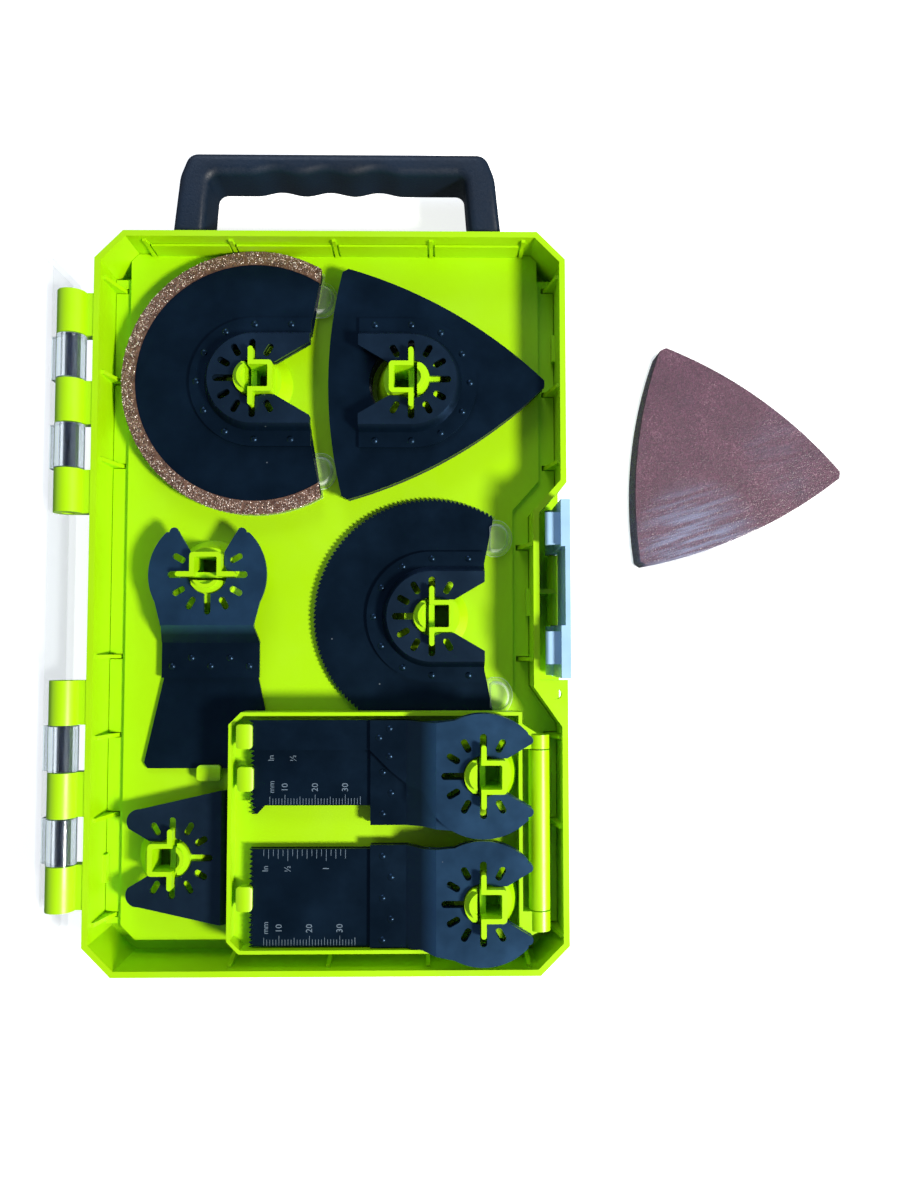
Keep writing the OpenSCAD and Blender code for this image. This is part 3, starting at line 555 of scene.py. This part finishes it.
def etched_mark():
    """Laser-etched scale: the bluing burnt off to a matt grey."""
    settings = bpy.context.scene.blade_settings
    material, tree, shader, place = new_material("etched_mark", Metallic=0.3)
    base = with_alpha(settings.ink)
    rough = add_node(tree, "ShaderNodeTexNoise", {"Vector": place},
                     {"Scale": per_metre(0.3), "Detail": 2.0})
    add_node(tree, "ShaderNodeValToRGB", {"Fac": rough}, to=shader.inputs["Base Color"],
             stops=((0.3, scaled(base, 0.75)), (0.7, base)))
    add_node(tree, "ShaderNodeMapRange", {"Value": rough},
             {"From Min": 0.3, "From Max": 0.7, "To Min": 0.5, "To Max": 0.7},
             to=shader.inputs["Roughness"])
    return material


def studio_paper():
    """White background paper: matt, with the faintest tooth."""
    settings = bpy.context.scene.studio_settings
    # a light table under the paper lifts the shadows
    material, tree, shader, place = new_material(
        "studio_paper", Roughness=0.9, Emission_Color=linear("#ffffff"),
        Emission_Strength=settings.glow)
    base = with_alpha(settings.floor)
    tooth = add_node(tree, "ShaderNodeTexNoise", {"Vector": place},
                     {"Scale": per_metre(4), "Detail": 2.0})
    add_node(tree, "ShaderNodeValToRGB", {"Fac": tooth}, to=shader.inputs["Base Color"],
             stops=((0.3, scaled(base, 0.99)), (0.7, base)))
    return material


# ---- shapes ----
def ring_inset(points, distance):
    """A closed anticlockwise outline with every edge moved inwards by a distance."""
    sharpest = 0.35  # keeps a point at a sharp corner from flying off
    moved = []
    count = len(points)
    for i, here in enumerate(points):
        a = (here - points[i - 1]).normalized()
        b = (points[(i + 1) % count] - here).normalized()
        n1, n2 = Vector((-a.y, a.x)), Vector((-b.y, b.x))
        moved.append(here + (n1 + n2) * (distance / max(sharpest, 1 + n1.dot(n2))))
    return moved


def rounded_slab(name, outline, low, high, radius, steps):
    """A slab of a plan outline from low to high, with a quarter-round of that radius on both rims."""
    form = bmesh.new()
    rings = []
    turns = [math.pi / 2 * k / steps for k in range(steps + 1)]
    levels = [(radius * (1 - math.sin(t)), low + radius * (1 - math.cos(t))) for t in turns]
    levels += [(radius * (1 - math.sin(t)), high - radius * (1 - math.cos(t))) for t in reversed(turns)]
    for inwards, z in levels:
        rings.append([form.verts.new((p.x, p.y, z)) for p in ring_inset(outline, inwards)])
    for lower, upper in zip(rings, rings[1:]):
        for i in range(len(lower)):
            j = (i + 1) % len(lower)
            form.faces.new((lower[i], lower[j], upper[j], upper[i]))
    form.faces.new(list(reversed(rings[0])))
    form.faces.new(rings[-1])
    return mesh_from(form, name)


def arc_points(centre, radius, start, end, steps):
    """Points on an arc, angles in degrees."""
    angles = [math.radians(start + (end - start) * k / steps) for k in range(steps + 1)]
    return [Vector((centre[0] + radius * math.cos(a), centre[1] + radius * math.sin(a))) for a in angles]


def rounded_corners(points, radii, steps):
    """A polygon with its corners replaced by arcs. radii holds one radius per corner."""
    outline = []
    count = len(points)
    for i, (corner, radius) in enumerate(zip(points, radii)):
        back = (points[i - 1] - corner).normalized()
        on = (points[(i + 1) % count] - corner).normalized()
        half = math.acos(max(-1.0, min(1.0, back.dot(on)))) / 2
        if radius <= 0 or half > math.radians(89):
            outline.append(corner)
            continue
        reach = radius / math.tan(half)
        centre = corner + (back + on).normalized() * (radius / math.sin(half))
        a, b = corner + back * reach - centre, corner + on * reach - centre
        sweep = a.angle_signed(b)
        for k in range(steps + 1):
            turn = Matrix.Rotation(-sweep * k / steps, 2)
            outline.append(centre + turn @ a)
    return outline


def add_block(form, low, high):
    """A rectangular block between two corners."""
    corners = [form.verts.new((x, y, z)) for z in (low[2], high[2]) for y in (low[1], high[1])
               for x in (low[0], high[0])]
    for face in ((0, 2, 3, 1), (4, 5, 7, 6), (0, 1, 5, 4), (2, 6, 7, 3), (0, 4, 6, 2), (1, 3, 7, 5)):
        form.faces.new([corners[i] for i in face])


def add_numeral(form, text, cap_mm, place, turn, thickness):
    """A numeral or unit sign of a given cap height, its middle at place, turned in plan."""
    cap_share = 0.72  # cap height of the built-in face as a share of its size
    curve = bpy.data.curves.new("numeral", "FONT")
    curve.body = text
    curve.size = cap_mm * MM / cap_share
    curve.align_x = "CENTER"
    curve.align_y = "CENTER"
    curve.extrude = thickness / 2
    curve.resolution_u = 3
    sign = bpy.data.objects.new("numeral", curve)
    bpy.context.scene.collection.objects.link(sign)
    bpy.context.view_layer.update()
    mesh = bpy.data.meshes.new_from_object(sign.evaluated_get(bpy.context.evaluated_depsgraph_get()))
    mesh.transform(Matrix.Translation(place) @ Matrix.Rotation(math.radians(turn), 4, "Z"))
    form.from_mesh(mesh)
    bpy.data.objects.remove(sign)
    bpy.data.curves.remove(curve)
    bpy.data.meshes.remove(mesh)


def scale_marks(name, body, plate, tip_x, lower_y, upper_y, inches_y):
    """Millimetres along the lower edge and sixteenths of an inch along the upper one.

    Both count from the teeth at tip_x. The inch numerals stand at inches_y. Without an upper_y there are
    no inch lines, and the numerals stop at the half inch.
    """
    settings = bpy.context.scene.blade_settings
    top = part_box(plate)[1][2]
    width, height = settings.mark_width, settings.mark_height
    inch = 25.4
    form = bmesh.new()

    def line(along_mm, y, length_mm):
        x, end = tip_x + along_mm * MM, y + length_mm * MM
        add_block(form, (x - width / 2, min(y, end), top), (x + width / 2, max(y, end), top + height))

    def sign(text, cap_mm, along_mm, y):
        add_numeral(form, text, cap_mm, (tip_x + along_mm * MM, y, top + height / 2), 90, height)

    for mm in range(5, 36):
        line(mm, lower_y, 3.2 if mm % 10 == 0 else 2.6 if mm % 5 == 0 else 2.0)
        if mm % 10 == 0:
            sign(str(mm), 2.1, mm, lower_y + 5.6 * MM)
    sign("mm", 1.9, 5.6, lower_y + 5.8 * MM)
    if upper_y is not None:
        for sixteenth in range(3, 21):
            line(sixteenth * inch / 16, upper_y,
                 -3.8 if sixteenth % 8 == 0 else -3.0 if sixteenth % 2 == 0 else -2.1)
    sign("In", 2.0, 5.4, inches_y)
    sign("\u00bd", 2.1, inch / 2, inches_y)
    if upper_y is not None:
        sign("1", 2.1, inch, inches_y)
    return new_piece(name, mesh_from(form, name), body, etched_mark())


def delta_reach(angle):
    """Distance from the sheets' centre to their edge in the direction of an angle in plan."""
    cut_corner = 1.2 * MM
    side = SHEET_CORNER * math.sqrt(3)
    arc = (side * side / 4 + SHEET_BOW * SHEET_BOW) / (2 * SHEET_BOW)
    off = arc - SHEET_CORNER / 2 - SHEET_BOW
    reach = SHEET_CORNER - cut_corner
    for turn in (0, 120, 240):
        across = off * math.cos(angle - math.radians(turn))
        reach = min(reach, across + math.sqrt(across * across - off * off + arc * arc))
    return reach


# ---- operators: one for each piece or group of like pieces ----
class CASE_OT_shell(bpy.types.Operator):
    """Finish the base, insert and tray in lime plastic and round their moulded edges"""

    bl_idname = "accessory_case.shell"
    bl_label = "Case, insert and tray"

    def execute(self, context):
        edge = context.scene.case_settings.edge / MM
        names = ("case_base", "insert_panel", "tray", "tray_hinge_bar")
        finish_nodes(lime_polypropylene(), *names)
        for name in names:
            round_edges(name, edge)
        return {"FINISHED"}


class CASE_OT_lid(bpy.types.Operator):
    """Finish the clear lid and build the four knuckles of its hinge"""

    bl_idname = "accessory_case.lid"
    bl_label = "Clear lid"

    def execute(self, context):
        finish_nodes(clear_lid_sheet(), "case_lid")
        joints = frame["record"]["behaviour"]["joints"]
        axis = Vector(next(joint for joint in joints if joint["name"] == "lid_hinge")["pos_m"])
        pin_low, pin_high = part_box("hinge_pin_upper")
        play = 0.06 * MM
        bore = (pin_high[0] - pin_low[0]) / 2 + play
        form = bmesh.new()
        # middles of the knuckles along the hinge, in mm
        for middle in (50, 80, -50, -80):
            self.add_knuckle(form, axis, middle * MM, bore)
        new_piece("lid_knuckles", mesh_from(form, "lid_knuckles"), "lid",
                  clear_polycarbonate(), 40)
        return {"FINISHED"}

    def add_knuckle(self, form, axis, middle, bore):
        """A clear knuckle with its web towards the lid, a hair larger than the moulding inside it."""
        length, barrel = 14.66 * MM, 4.83 * MM
        # the web's far side, and its lower and upper faces below the axis
        web, low, high = 6.9 * MM, 4.75 * MM, 0.25 * MM
        steps = 72

        def wall(turn):
            down, out = -math.sin(turn), -math.cos(turn)
            if out > 0 and high / web < down / out < low / web:
                return web / out
            if down > 0 and out > 0 and down / out >= low / web:
                return max(barrel, low / down)
            return barrel

        rings = []
        for y in (middle - length / 2, middle + length / 2):
            for reach_at in (wall, lambda turn: bore):
                ring = []
                for k in range(steps):
                    turn = 2 * math.pi * k / steps
                    reach = reach_at(turn)
                    x, z = axis.x + reach * math.cos(turn), axis.z + reach * math.sin(turn)
                    ring.append(form.verts.new((x, y, z)))
                rings.append(ring)
        outer_a, inner_a, outer_b, inner_b = rings
        for i in range(steps):
            j = (i + 1) % steps
            form.faces.new((outer_a[i], outer_b[i], outer_b[j], outer_a[j]))
            form.faces.new((inner_a[i], inner_a[j], inner_b[j], inner_b[i]))
            form.faces.new((outer_a[i], outer_a[j], inner_a[j], inner_a[i]))
            form.faces.new((outer_b[i], inner_b[i], inner_b[j], outer_b[j]))


class CASE_OT_hinge(bpy.types.Operator):
    """Finish the hinge pins and the tray's and latch's wire pins"""

    bl_idname = "accessory_case.hinge"
    bl_label = "Hinge pins"

    def execute(self, context):
        finish_nodes(pin_nylon(), "hinge_pin_upper", "hinge_pin_lower")
        finish_nodes(bright_steel(), "latch_pin", "tray_hinge_pin")
        return {"FINISHED"}


class CASE_OT_latch(bpy.types.Operator):
    """Finish the latch"""

    bl_idname = "accessory_case.latch"
    bl_label = "Latch"

    def execute(self, context):
        edge_mm = 0.5
        finish_nodes(latch_abs(), "latch")
        round_edges("latch", edge_mm)
        return {"FINISHED"}


class CASE_OT_handle(bpy.types.Operator):
    """Build the carrying handle with rounded edges and finger scallops"""

    bl_idname = "accessory_case.handle"
    bl_label = "Carrying handle"

    def execute(self, context):
        low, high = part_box("handle")
        centre, top = (low[0] + high[0]) / 2, high[1]
        # the feet start at the case's wall, and the snap-in tongues behind them don't show
        tongue, thickness, bend = 2.95 * MM, 7.7 * MM, 8 * MM
        foot, grip, shoulder = low[1] + tongue, top - thickness, top - bend
        # anticlockwise from the left foot: x from the middle in mm, y, corner radius in mm
        corners = [(-56.5, foot, 0), (-45.5, foot, 0), (-43.8, grip, 3.2)]
        corners += self.scallops(grip)
        corners += [(43.8, grip, 3.2), (45.5, foot, 0), (56.5, foot, 0), (54.2, shoulder, 12),
                    (51, top, 4.5), (-51, top, 4.5), (-54.2, shoulder, 12)]
        outline = rounded_corners([Vector((x * MM, y)) for x, y, _ in corners],
                                  [radius * MM for _, _, radius in corners], steps=6)
        plan = [Vector((point.x + centre, point.y)) for point in outline]
        mesh = rounded_slab("handle_grip", plan, low[2], high[2],
                            context.scene.case_settings.handle_edge, steps=6)
        grip_piece = new_piece("handle_grip", mesh, "case", textured_nylon(), 35)
        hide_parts("handle")
        return {"FINISHED"}

    def scallops(self, grip):
        """Three finger hollows along the inner side of the grip, as corners."""
        first, pitch, hollows, depth = -30.25, 17.5, 3, 1.4 * MM
        steps = 14 * hollows
        corners = []
        for k in range(steps + 1):
            x = first + pitch * hollows * k / steps
            dip = depth / 2 * (1 - math.cos(2 * math.pi * (x - first) / pitch))
            corners.append((x, grip + dip, 0))
        return corners


class CASE_OT_blades(bpy.types.Operator):
    """Finish the steel plates and hubs of every blade and of the sanding pad"""

    bl_idname = "accessory_case.blades"
    bl_label = "Steel of the blades"

    def execute(self, context):
        plate_edge, hub_edge = 0.18, 0.3
        plates = blued_steel("blued_steel_plate", 0.72)
        # the hubs get a painted highlight on their upper parts, strongest on the cranked hubs
        pressed = blued_steel("blued_steel_pressed_hub", 0.72, top_highlight=1.6)
        cranked = blued_steel("blued_steel_cranked_hub", 0.7, top_highlight=3.8)
        for name in NODES:
            if not name.endswith(("_plate", "_hub")):
                continue
            if name.endswith("_plate"):
                steel = plates
            elif name.startswith(("plunge", "flared", "bimetal", "narrow", "scraper")):
                steel = cranked
            else:
                steel = pressed
            finish_nodes(steel, name)
            round_edges(name, plate_edge if name.endswith("_plate") else hub_edge, angle=25)
        return {"FINISHED"}


class CASE_OT_grit(bpy.types.Operator):
    """Braze the rim of the grit blade and scatter its carbide grains"""

    bl_idname = "accessory_case.grit"
    bl_label = "Carbide grit"

    def execute(self, context):
        finish_nodes(braze_copper(), "grit_rim")
        low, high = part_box("grit_rim")
        radius = (high[1] - low[1]) / 2
        centre = Vector((low[0] + radius, (low[1] + high[1]) / 2, 0))
        rim_width = 4.4 * MM
        inner = radius - rim_width
        # the rim is open at the blade's straight side, which slants outwards
        mouth, mouth_half, slant = 19.3 * MM, 19 * MM, 4.4 / 27
        sparse_width, sparse_share = 0.9 * MM, 0.6
        sunk = 0.25  # share of a grain's size that the braze covers
        top_grains, side_grains = 5600, 1300
        grain = context.scene.blade_settings.grain
        draw = random.Random(7)
        form = bmesh.new()
        for k in range(top_grains + side_grains):
            turn = draw.uniform(0, 2 * math.pi)
            on_top = k < top_grains
            reach = math.sqrt(draw.uniform(inner ** 2, radius ** 2)) if on_top else radius
            z = high[2] if on_top else draw.uniform(low[2], high[2])
            x, y = reach * math.cos(turn), reach * math.sin(turn)
            if x > mouth + slant * (abs(y) - mouth_half):
                continue
            size = grain * draw.uniform(0.3, 0.62)
            # grains thin out towards the braze at the inner edge
            if on_top and reach < inner + sparse_width and draw.random() < sparse_share:
                continue
            axis = Vector([draw.uniform(-1, 1) for _ in range(3)]).normalized()
            widths = [draw.uniform(0.7, 1.2), draw.uniform(0.7, 1.2), draw.uniform(0.6, 0.9)]
            matrix = (Matrix.Translation(centre + Vector((x, y, z - size * sunk)))
                      @ Matrix.Rotation(draw.uniform(0, 6.28), 4, axis) @ Matrix.Diagonal((*widths, 1)))
            bmesh.ops.create_icosphere(form, subdivisions=1, radius=size, matrix=matrix)
        new_piece("grit_grains", mesh_from(form, "grit_grains"), "grit_blade",
                  brazed_carbide())
        return {"FINISHED"}


class CASE_OT_scales(bpy.types.Operator):
    """Etch the millimetre and inch scales on the two upper plunge blades"""

    bl_idname = "accessory_case.scales"
    bl_label = "Etched scales"

    def execute(self, context):
        margin, numeral_row = 0.35 * MM, 6.6 * MM
        low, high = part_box("plunge_top_plate")
        scale_marks("scale_on_plunge_blade", "plunge_top_blade", "plunge_top_plate", low[0],
                    low[1] + margin, high[1] - margin, high[1] - numeral_row)
        # the narrower blade has room for the millimetres and the half inch only
        teeth, lines, numerals = 1.6 * MM, 10.7 * MM, 4.6 * MM
        low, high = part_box("bimetal_plate")
        middle = (low[1] + high[1]) / 2
        scale_marks("scale_on_bimetal_blade", "bimetal_blade", "bimetal_plate", low[0] + teeth,
                    middle - lines, None, middle + numerals)
        return {"FINISHED"}


class CASE_OT_guards(bpy.types.Operator):
    """Finish the clear tooth guards and build the pressed domes on their tabs"""

    bl_idname = "accessory_case.guards"
    bl_label = "Tooth guards"

    def execute(self, context):
        clear = thermoformed_pet()
        finish_nodes(clear, "metal_segment_guard", "wood_segment_guard")
        # from the guard's centre to its domes: along the blade and to either side, in mm
        for blade, along, side in (("metal_segment", 22.6, 30.4), ("wood_segment", 22.4, 27.3)):
            low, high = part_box(blade + "_guard")
            radius = (high[1] - low[1]) / 2
            middle = Vector((low[0] + radius + along * MM, (low[1] + high[1]) / 2, high[2]))
            form = bmesh.new()
            for across in (-side * MM, side * MM):
                self.add_dome(form, middle + Vector((0, across, 0)))
            name = blade + "_guard_domes"
            new_piece(name, mesh_from(form, name), blade + "_blade", clear, 50)
        return {"FINISHED"}

    def add_dome(self, form, middle):
        """D-shaped pressed dome: straight towards the blade, round away from it."""
        # (radius, height) from the rim to the crown of the dome's wall, in millimetres
        profile = ((5.5, 0.0), (5.3, 0.4), (4.7, 0.55), (4.3, 0.5), (4.05, 0.9), (3.75, 2.0),
                   (3.4, 2.4), (2.7, 2.6), (1.2, 2.65))
        flat_share, length_share = 0.62, 1.18
        # the straight side as shares of (how far the flat lies back, half the length)
        straight = ((0.6, 1), (1, 0.85), (1, 0), (1, -0.85), (0.6, -1))
        arc = [math.radians(angle) for angle in range(0, 181, 10)]
        rings = []
        for radius, height in profile:
            plan = [(radius * math.sin(a), -radius * math.cos(a)) for a in arc]
            plan += [(-flat_share * radius * back, radius * along) for back, along in straight]
            rings.append([form.verts.new(middle + Vector((x * MM, y * length_share * MM, height * MM)))
                          for x, y in plan])
        for lower, upper in zip(rings, rings[1:]):
            for i in range(len(lower)):
                j = (i + 1) % len(lower)
                form.faces.new((lower[i], lower[j], upper[j], upper[i]))
        form.faces.new(rings[-1])


class CASE_OT_pad(bpy.types.Operator):
    """Finish the foam and hook layer of the delta pad"""

    bl_idname = "accessory_case.pad"
    bl_label = "Delta sanding pad"

    def execute(self, context):
        finish_nodes(sponge_rubber(), "pad_foam")
        finish_nodes(hook_tape(), "pad_hook_layer")
        return {"FINISHED"}


class CASE_OT_sheets(bpy.types.Operator):
    """Finish the pack of sanding sheets and build its shrink film"""

    bl_idname = "accessory_case.sheets"
    bl_label = "Sanding sheets"

    def execute(self, context):
        finish_nodes(aluminium_oxide_cloth(), "sanding_sheets")
        height = context.scene.sanding_settings.film_wrinkle
        turn = math.radians(SHEET_TURN)
        gap, skirt_pull = 0.02 * MM, 0.12 * MM
        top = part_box("sheet_wrap")[1][2] + gap
        form = bmesh.new()
        spokes, rings = 216, 44
        grid = []
        for ring in range(1, rings + 1):
            share = ring / rings
            row = []
            for k in range(spokes):
                angle = 2 * math.pi * k / spokes
                reach = delta_reach(angle) * share
                x = SHEET_CENTRE.x + reach * math.cos(angle + turn)
                y = SHEET_CENTRE.y + reach * math.sin(angle + turn)
                row.append(form.verts.new((x, y, top + self.wrinkle(x, y, share, height))))
            grid.append(row)
        middle = form.verts.new((SHEET_CENTRE.x, SHEET_CENTRE.y, top))
        # the film's side drops to the table in four steps, slightly puckered
        for drop in (0.25, 0.5, 0.75, 1.0):
            row = []
            for k, vert in enumerate(grid[rings - 1]):
                pull = skirt_pull * noise.noise(Vector((k * 0.35, drop * 3, 5.0)))
                out = (vert.co.xy - SHEET_CENTRE).normalized() * pull
                row.append(form.verts.new((vert.co.x + out.x, vert.co.y + out.y,
                                           vert.co.z * (1 - drop) + gap)))
            grid.append(row)
        for inner, outer in zip(grid, grid[1:]):
            for i in range(spokes):
                j = (i + 1) % spokes
                form.faces.new((inner[i], outer[i], outer[j], inner[j]))
        for i in range(spokes):
            form.faces.new((middle, grid[0][i], grid[0][(i + 1) % spokes]))
        form.faces.new(list(reversed(grid[-1])))
        film = new_piece("shrink_film_bag", mesh_from(form, "shrink_film_bag"), "sheet_pack",
                         shrink_film(), 60)
        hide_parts("sheet_wrap")
        return {"FINISHED"}

    def wrinkle(self, x, y, share, height):
        """Gathers that run in from the seam, long pulls across the sheets and a rim drawn down.

        share runs from 0 at the centre to 1 at the edge, where the film is held and lies still.
        """
        pull_turn = 1.15
        slack_at, slack_width = 0.82, 0.3
        rim_from, rim_drop = 0.96, 0.35 * MM
        across = x * math.cos(pull_turn) + y * math.sin(pull_turn)
        along = -x * math.sin(pull_turn) + y * math.cos(pull_turn)
        pulls = noise.noise(Vector((across * 60, along * 380, 2.0)))
        gathers = noise.noise(Vector((x * 260, y * 260, 9.0)))
        slack = max(0.0, 1 - abs(share - slack_at) / slack_width)
        held = min(1.0, (1 - share) * 12)
        rim = -rim_drop * max(0.0, (share - rim_from) / (1 - rim_from)) ** 2
        return height * (0.5 * pulls + 0.5 * gathers * slack) * held + rim


class CASE_OT_studio(bpy.types.Operator):
    """Set up the floor, lights and camera"""

    bl_idname = "accessory_case.studio"
    bl_label = "Studio"

    def execute(self, context):
        settings = context.scene.studio_settings
        context.scene.view_settings.view_transform = "Standard"
        floor = self.backdrop(context)
        self.air(context, settings.fill)
        self.area_light(context, "key_light", (0.92, -0.42, 0.92), (0, 0, 0), 0.26, settings.key,
                        "#fff9ee")
        self.area_light(context, "rim_light", (-0.15, 1.0, 0.62), (0, 0.05, 0), 0.5, settings.rim,
                        "#d6e6ff")
        data = bpy.data.cameras.new("studio_camera")
        data.sensor_width = 36
        data.lens = settings.lens
        data.clip_start = 0.01
        camera = bpy.data.objects.new("studio_camera", data)
        camera.location = (0.03651, -0.01720, 0.33367)
        camera.rotation_euler = (0.05163, -0.01250, -0.00076)
        context.scene.collection.objects.link(camera)
        context.scene.camera = camera
        return {"FINISHED"}

    def backdrop(self, context):
        """Paper on the floor that sweeps up into a round backdrop."""
        reach, sweep, height, below = 3.0, 1.0, 4.0, 0.3 * MM
        sides = 48
        section = [(p.x, p.y) for p in arc_points((reach - sweep, sweep), sweep, -90, 0, 8)]
        section.append((reach, height))
        turns = [2 * math.pi * k / sides for k in range(sides)]
        form = bmesh.new()
        rings = [[form.verts.new((radius * math.cos(turn), radius * math.sin(turn), z)) for turn in turns]
                 for radius, z in section]
        middle = form.verts.new((0, 0, 0))
        for k in range(sides):
            form.faces.new((middle, rings[0][k], rings[0][(k + 1) % sides]))
        for lower, upper in zip(rings, rings[1:]):
            for k in range(sides):
                j = (k + 1) % sides
                form.faces.new((lower[k], upper[k], upper[j], lower[j]))
        mesh = mesh_from(form, "studio_floor")
        mesh.materials.append(studio_paper())
        floor = bpy.data.objects.new("studio_floor", mesh)
        floor.location = (0, 0, -below)
        context.scene.collection.objects.link(floor)
        # the bright paper neither lights nor shows in the object, as if it lay far below
        floor.visible_diffuse = False
        floor.visible_glossy = False
        floor.visible_shadow = False
        return floor

    def air(self, context, fill):
        """Even light from all round.

        It is dim overhead and brighter towards the walls, so that flat steel stays dark and slopes
        catch light.
        """
        world = bpy.data.worlds.new("studio_air")
        context.scene.world = world
        world.use_nodes = True
        tree = world.node_tree
        sky = tree.nodes["Background"]
        sky.inputs["Color"].default_value = linear("#dfeaff")
        direction = add_node(tree, "ShaderNodeTexCoord").outputs["Generated"]
        heading = add_node(tree, "ShaderNodeSeparateXYZ", {"Vector": direction})
        share = add_node(tree, "ShaderNodeValToRGB", {"Fac": heading.outputs["Z"]},
                         stops=((0.0, grey(0.25)), (0.12, grey(1.0)), (0.5, grey(0.8)),
                                (0.8, grey(0.35)), (1.0, grey(0.22))))
        add_node(tree, "ShaderNodeMath", {0: share}, {1: fill}, to=sky.inputs["Strength"],
                 operation="MULTIPLY")

    def area_light(self, context, name, place, target, size, power, hex_code):
        """A round soft light at place, turned towards target."""
        data = bpy.data.lights.new(name, "AREA")
        data.shape = "DISK"
        data.size = size
        data.energy = power
        data.color = srgb_default(hex_code)
        lamp = bpy.data.objects.new(name, data)
        lamp.location = place
        aim = Vector(target) - Vector(place)
        lamp.rotation_euler = aim.to_track_quat("-Z", "Y").to_euler()
        context.scene.collection.objects.link(lamp)


class CASE_PT_panel(bpy.types.Panel):
    """Sizes, colours and the steps that finish the case"""

    bl_idname = "CASE_PT_panel"
    bl_label = "Accessory case"
    bl_space_type = "VIEW_3D"
    bl_region_type = "UI"
    bl_category = "Accessory case"

    def draw(self, context):
        for group in SETTINGS:
            settings = getattr(context.scene, group)
            box = self.layout.box()
            for name in settings.bl_rna.properties.keys():
                if name not in ("rna_type", "name"):
                    box.prop(settings, name)
        column = self.layout.column(align=True)
        for operator in OPERATORS:
            column.operator(operator.bl_idname)


SETTINGS = {"case_settings": CaseSettings, "blade_settings": BladeSettings,
            "sanding_settings": SandingSettings, "studio_settings": StudioSettings}
OPERATORS = (CASE_OT_shell, CASE_OT_lid, CASE_OT_hinge, CASE_OT_latch, CASE_OT_handle, CASE_OT_blades,
             CASE_OT_grit, CASE_OT_scales, CASE_OT_guards, CASE_OT_pad, CASE_OT_sheets, CASE_OT_studio)


def register():
    for cls in (*SETTINGS.values(), *OPERATORS, CASE_PT_panel):
        bpy.utils.register_class(cls)
    for name, group in SETTINGS.items():
        setattr(bpy.types.Scene, name, bpy.props.PointerProperty(type=group))


def unregister():
    for name in SETTINGS:
        delattr(bpy.types.Scene, name)
    for cls in (CASE_PT_panel, *reversed(OPERATORS), *reversed(list(SETTINGS.values()))):
        bpy.utils.unregister_class(cls)


def main():
    register()
    for operator in OPERATORS:
        group, name = operator.bl_idname.split(".")
        getattr(getattr(bpy.ops, group), name)()


if __name__ == "__main__":
    main()
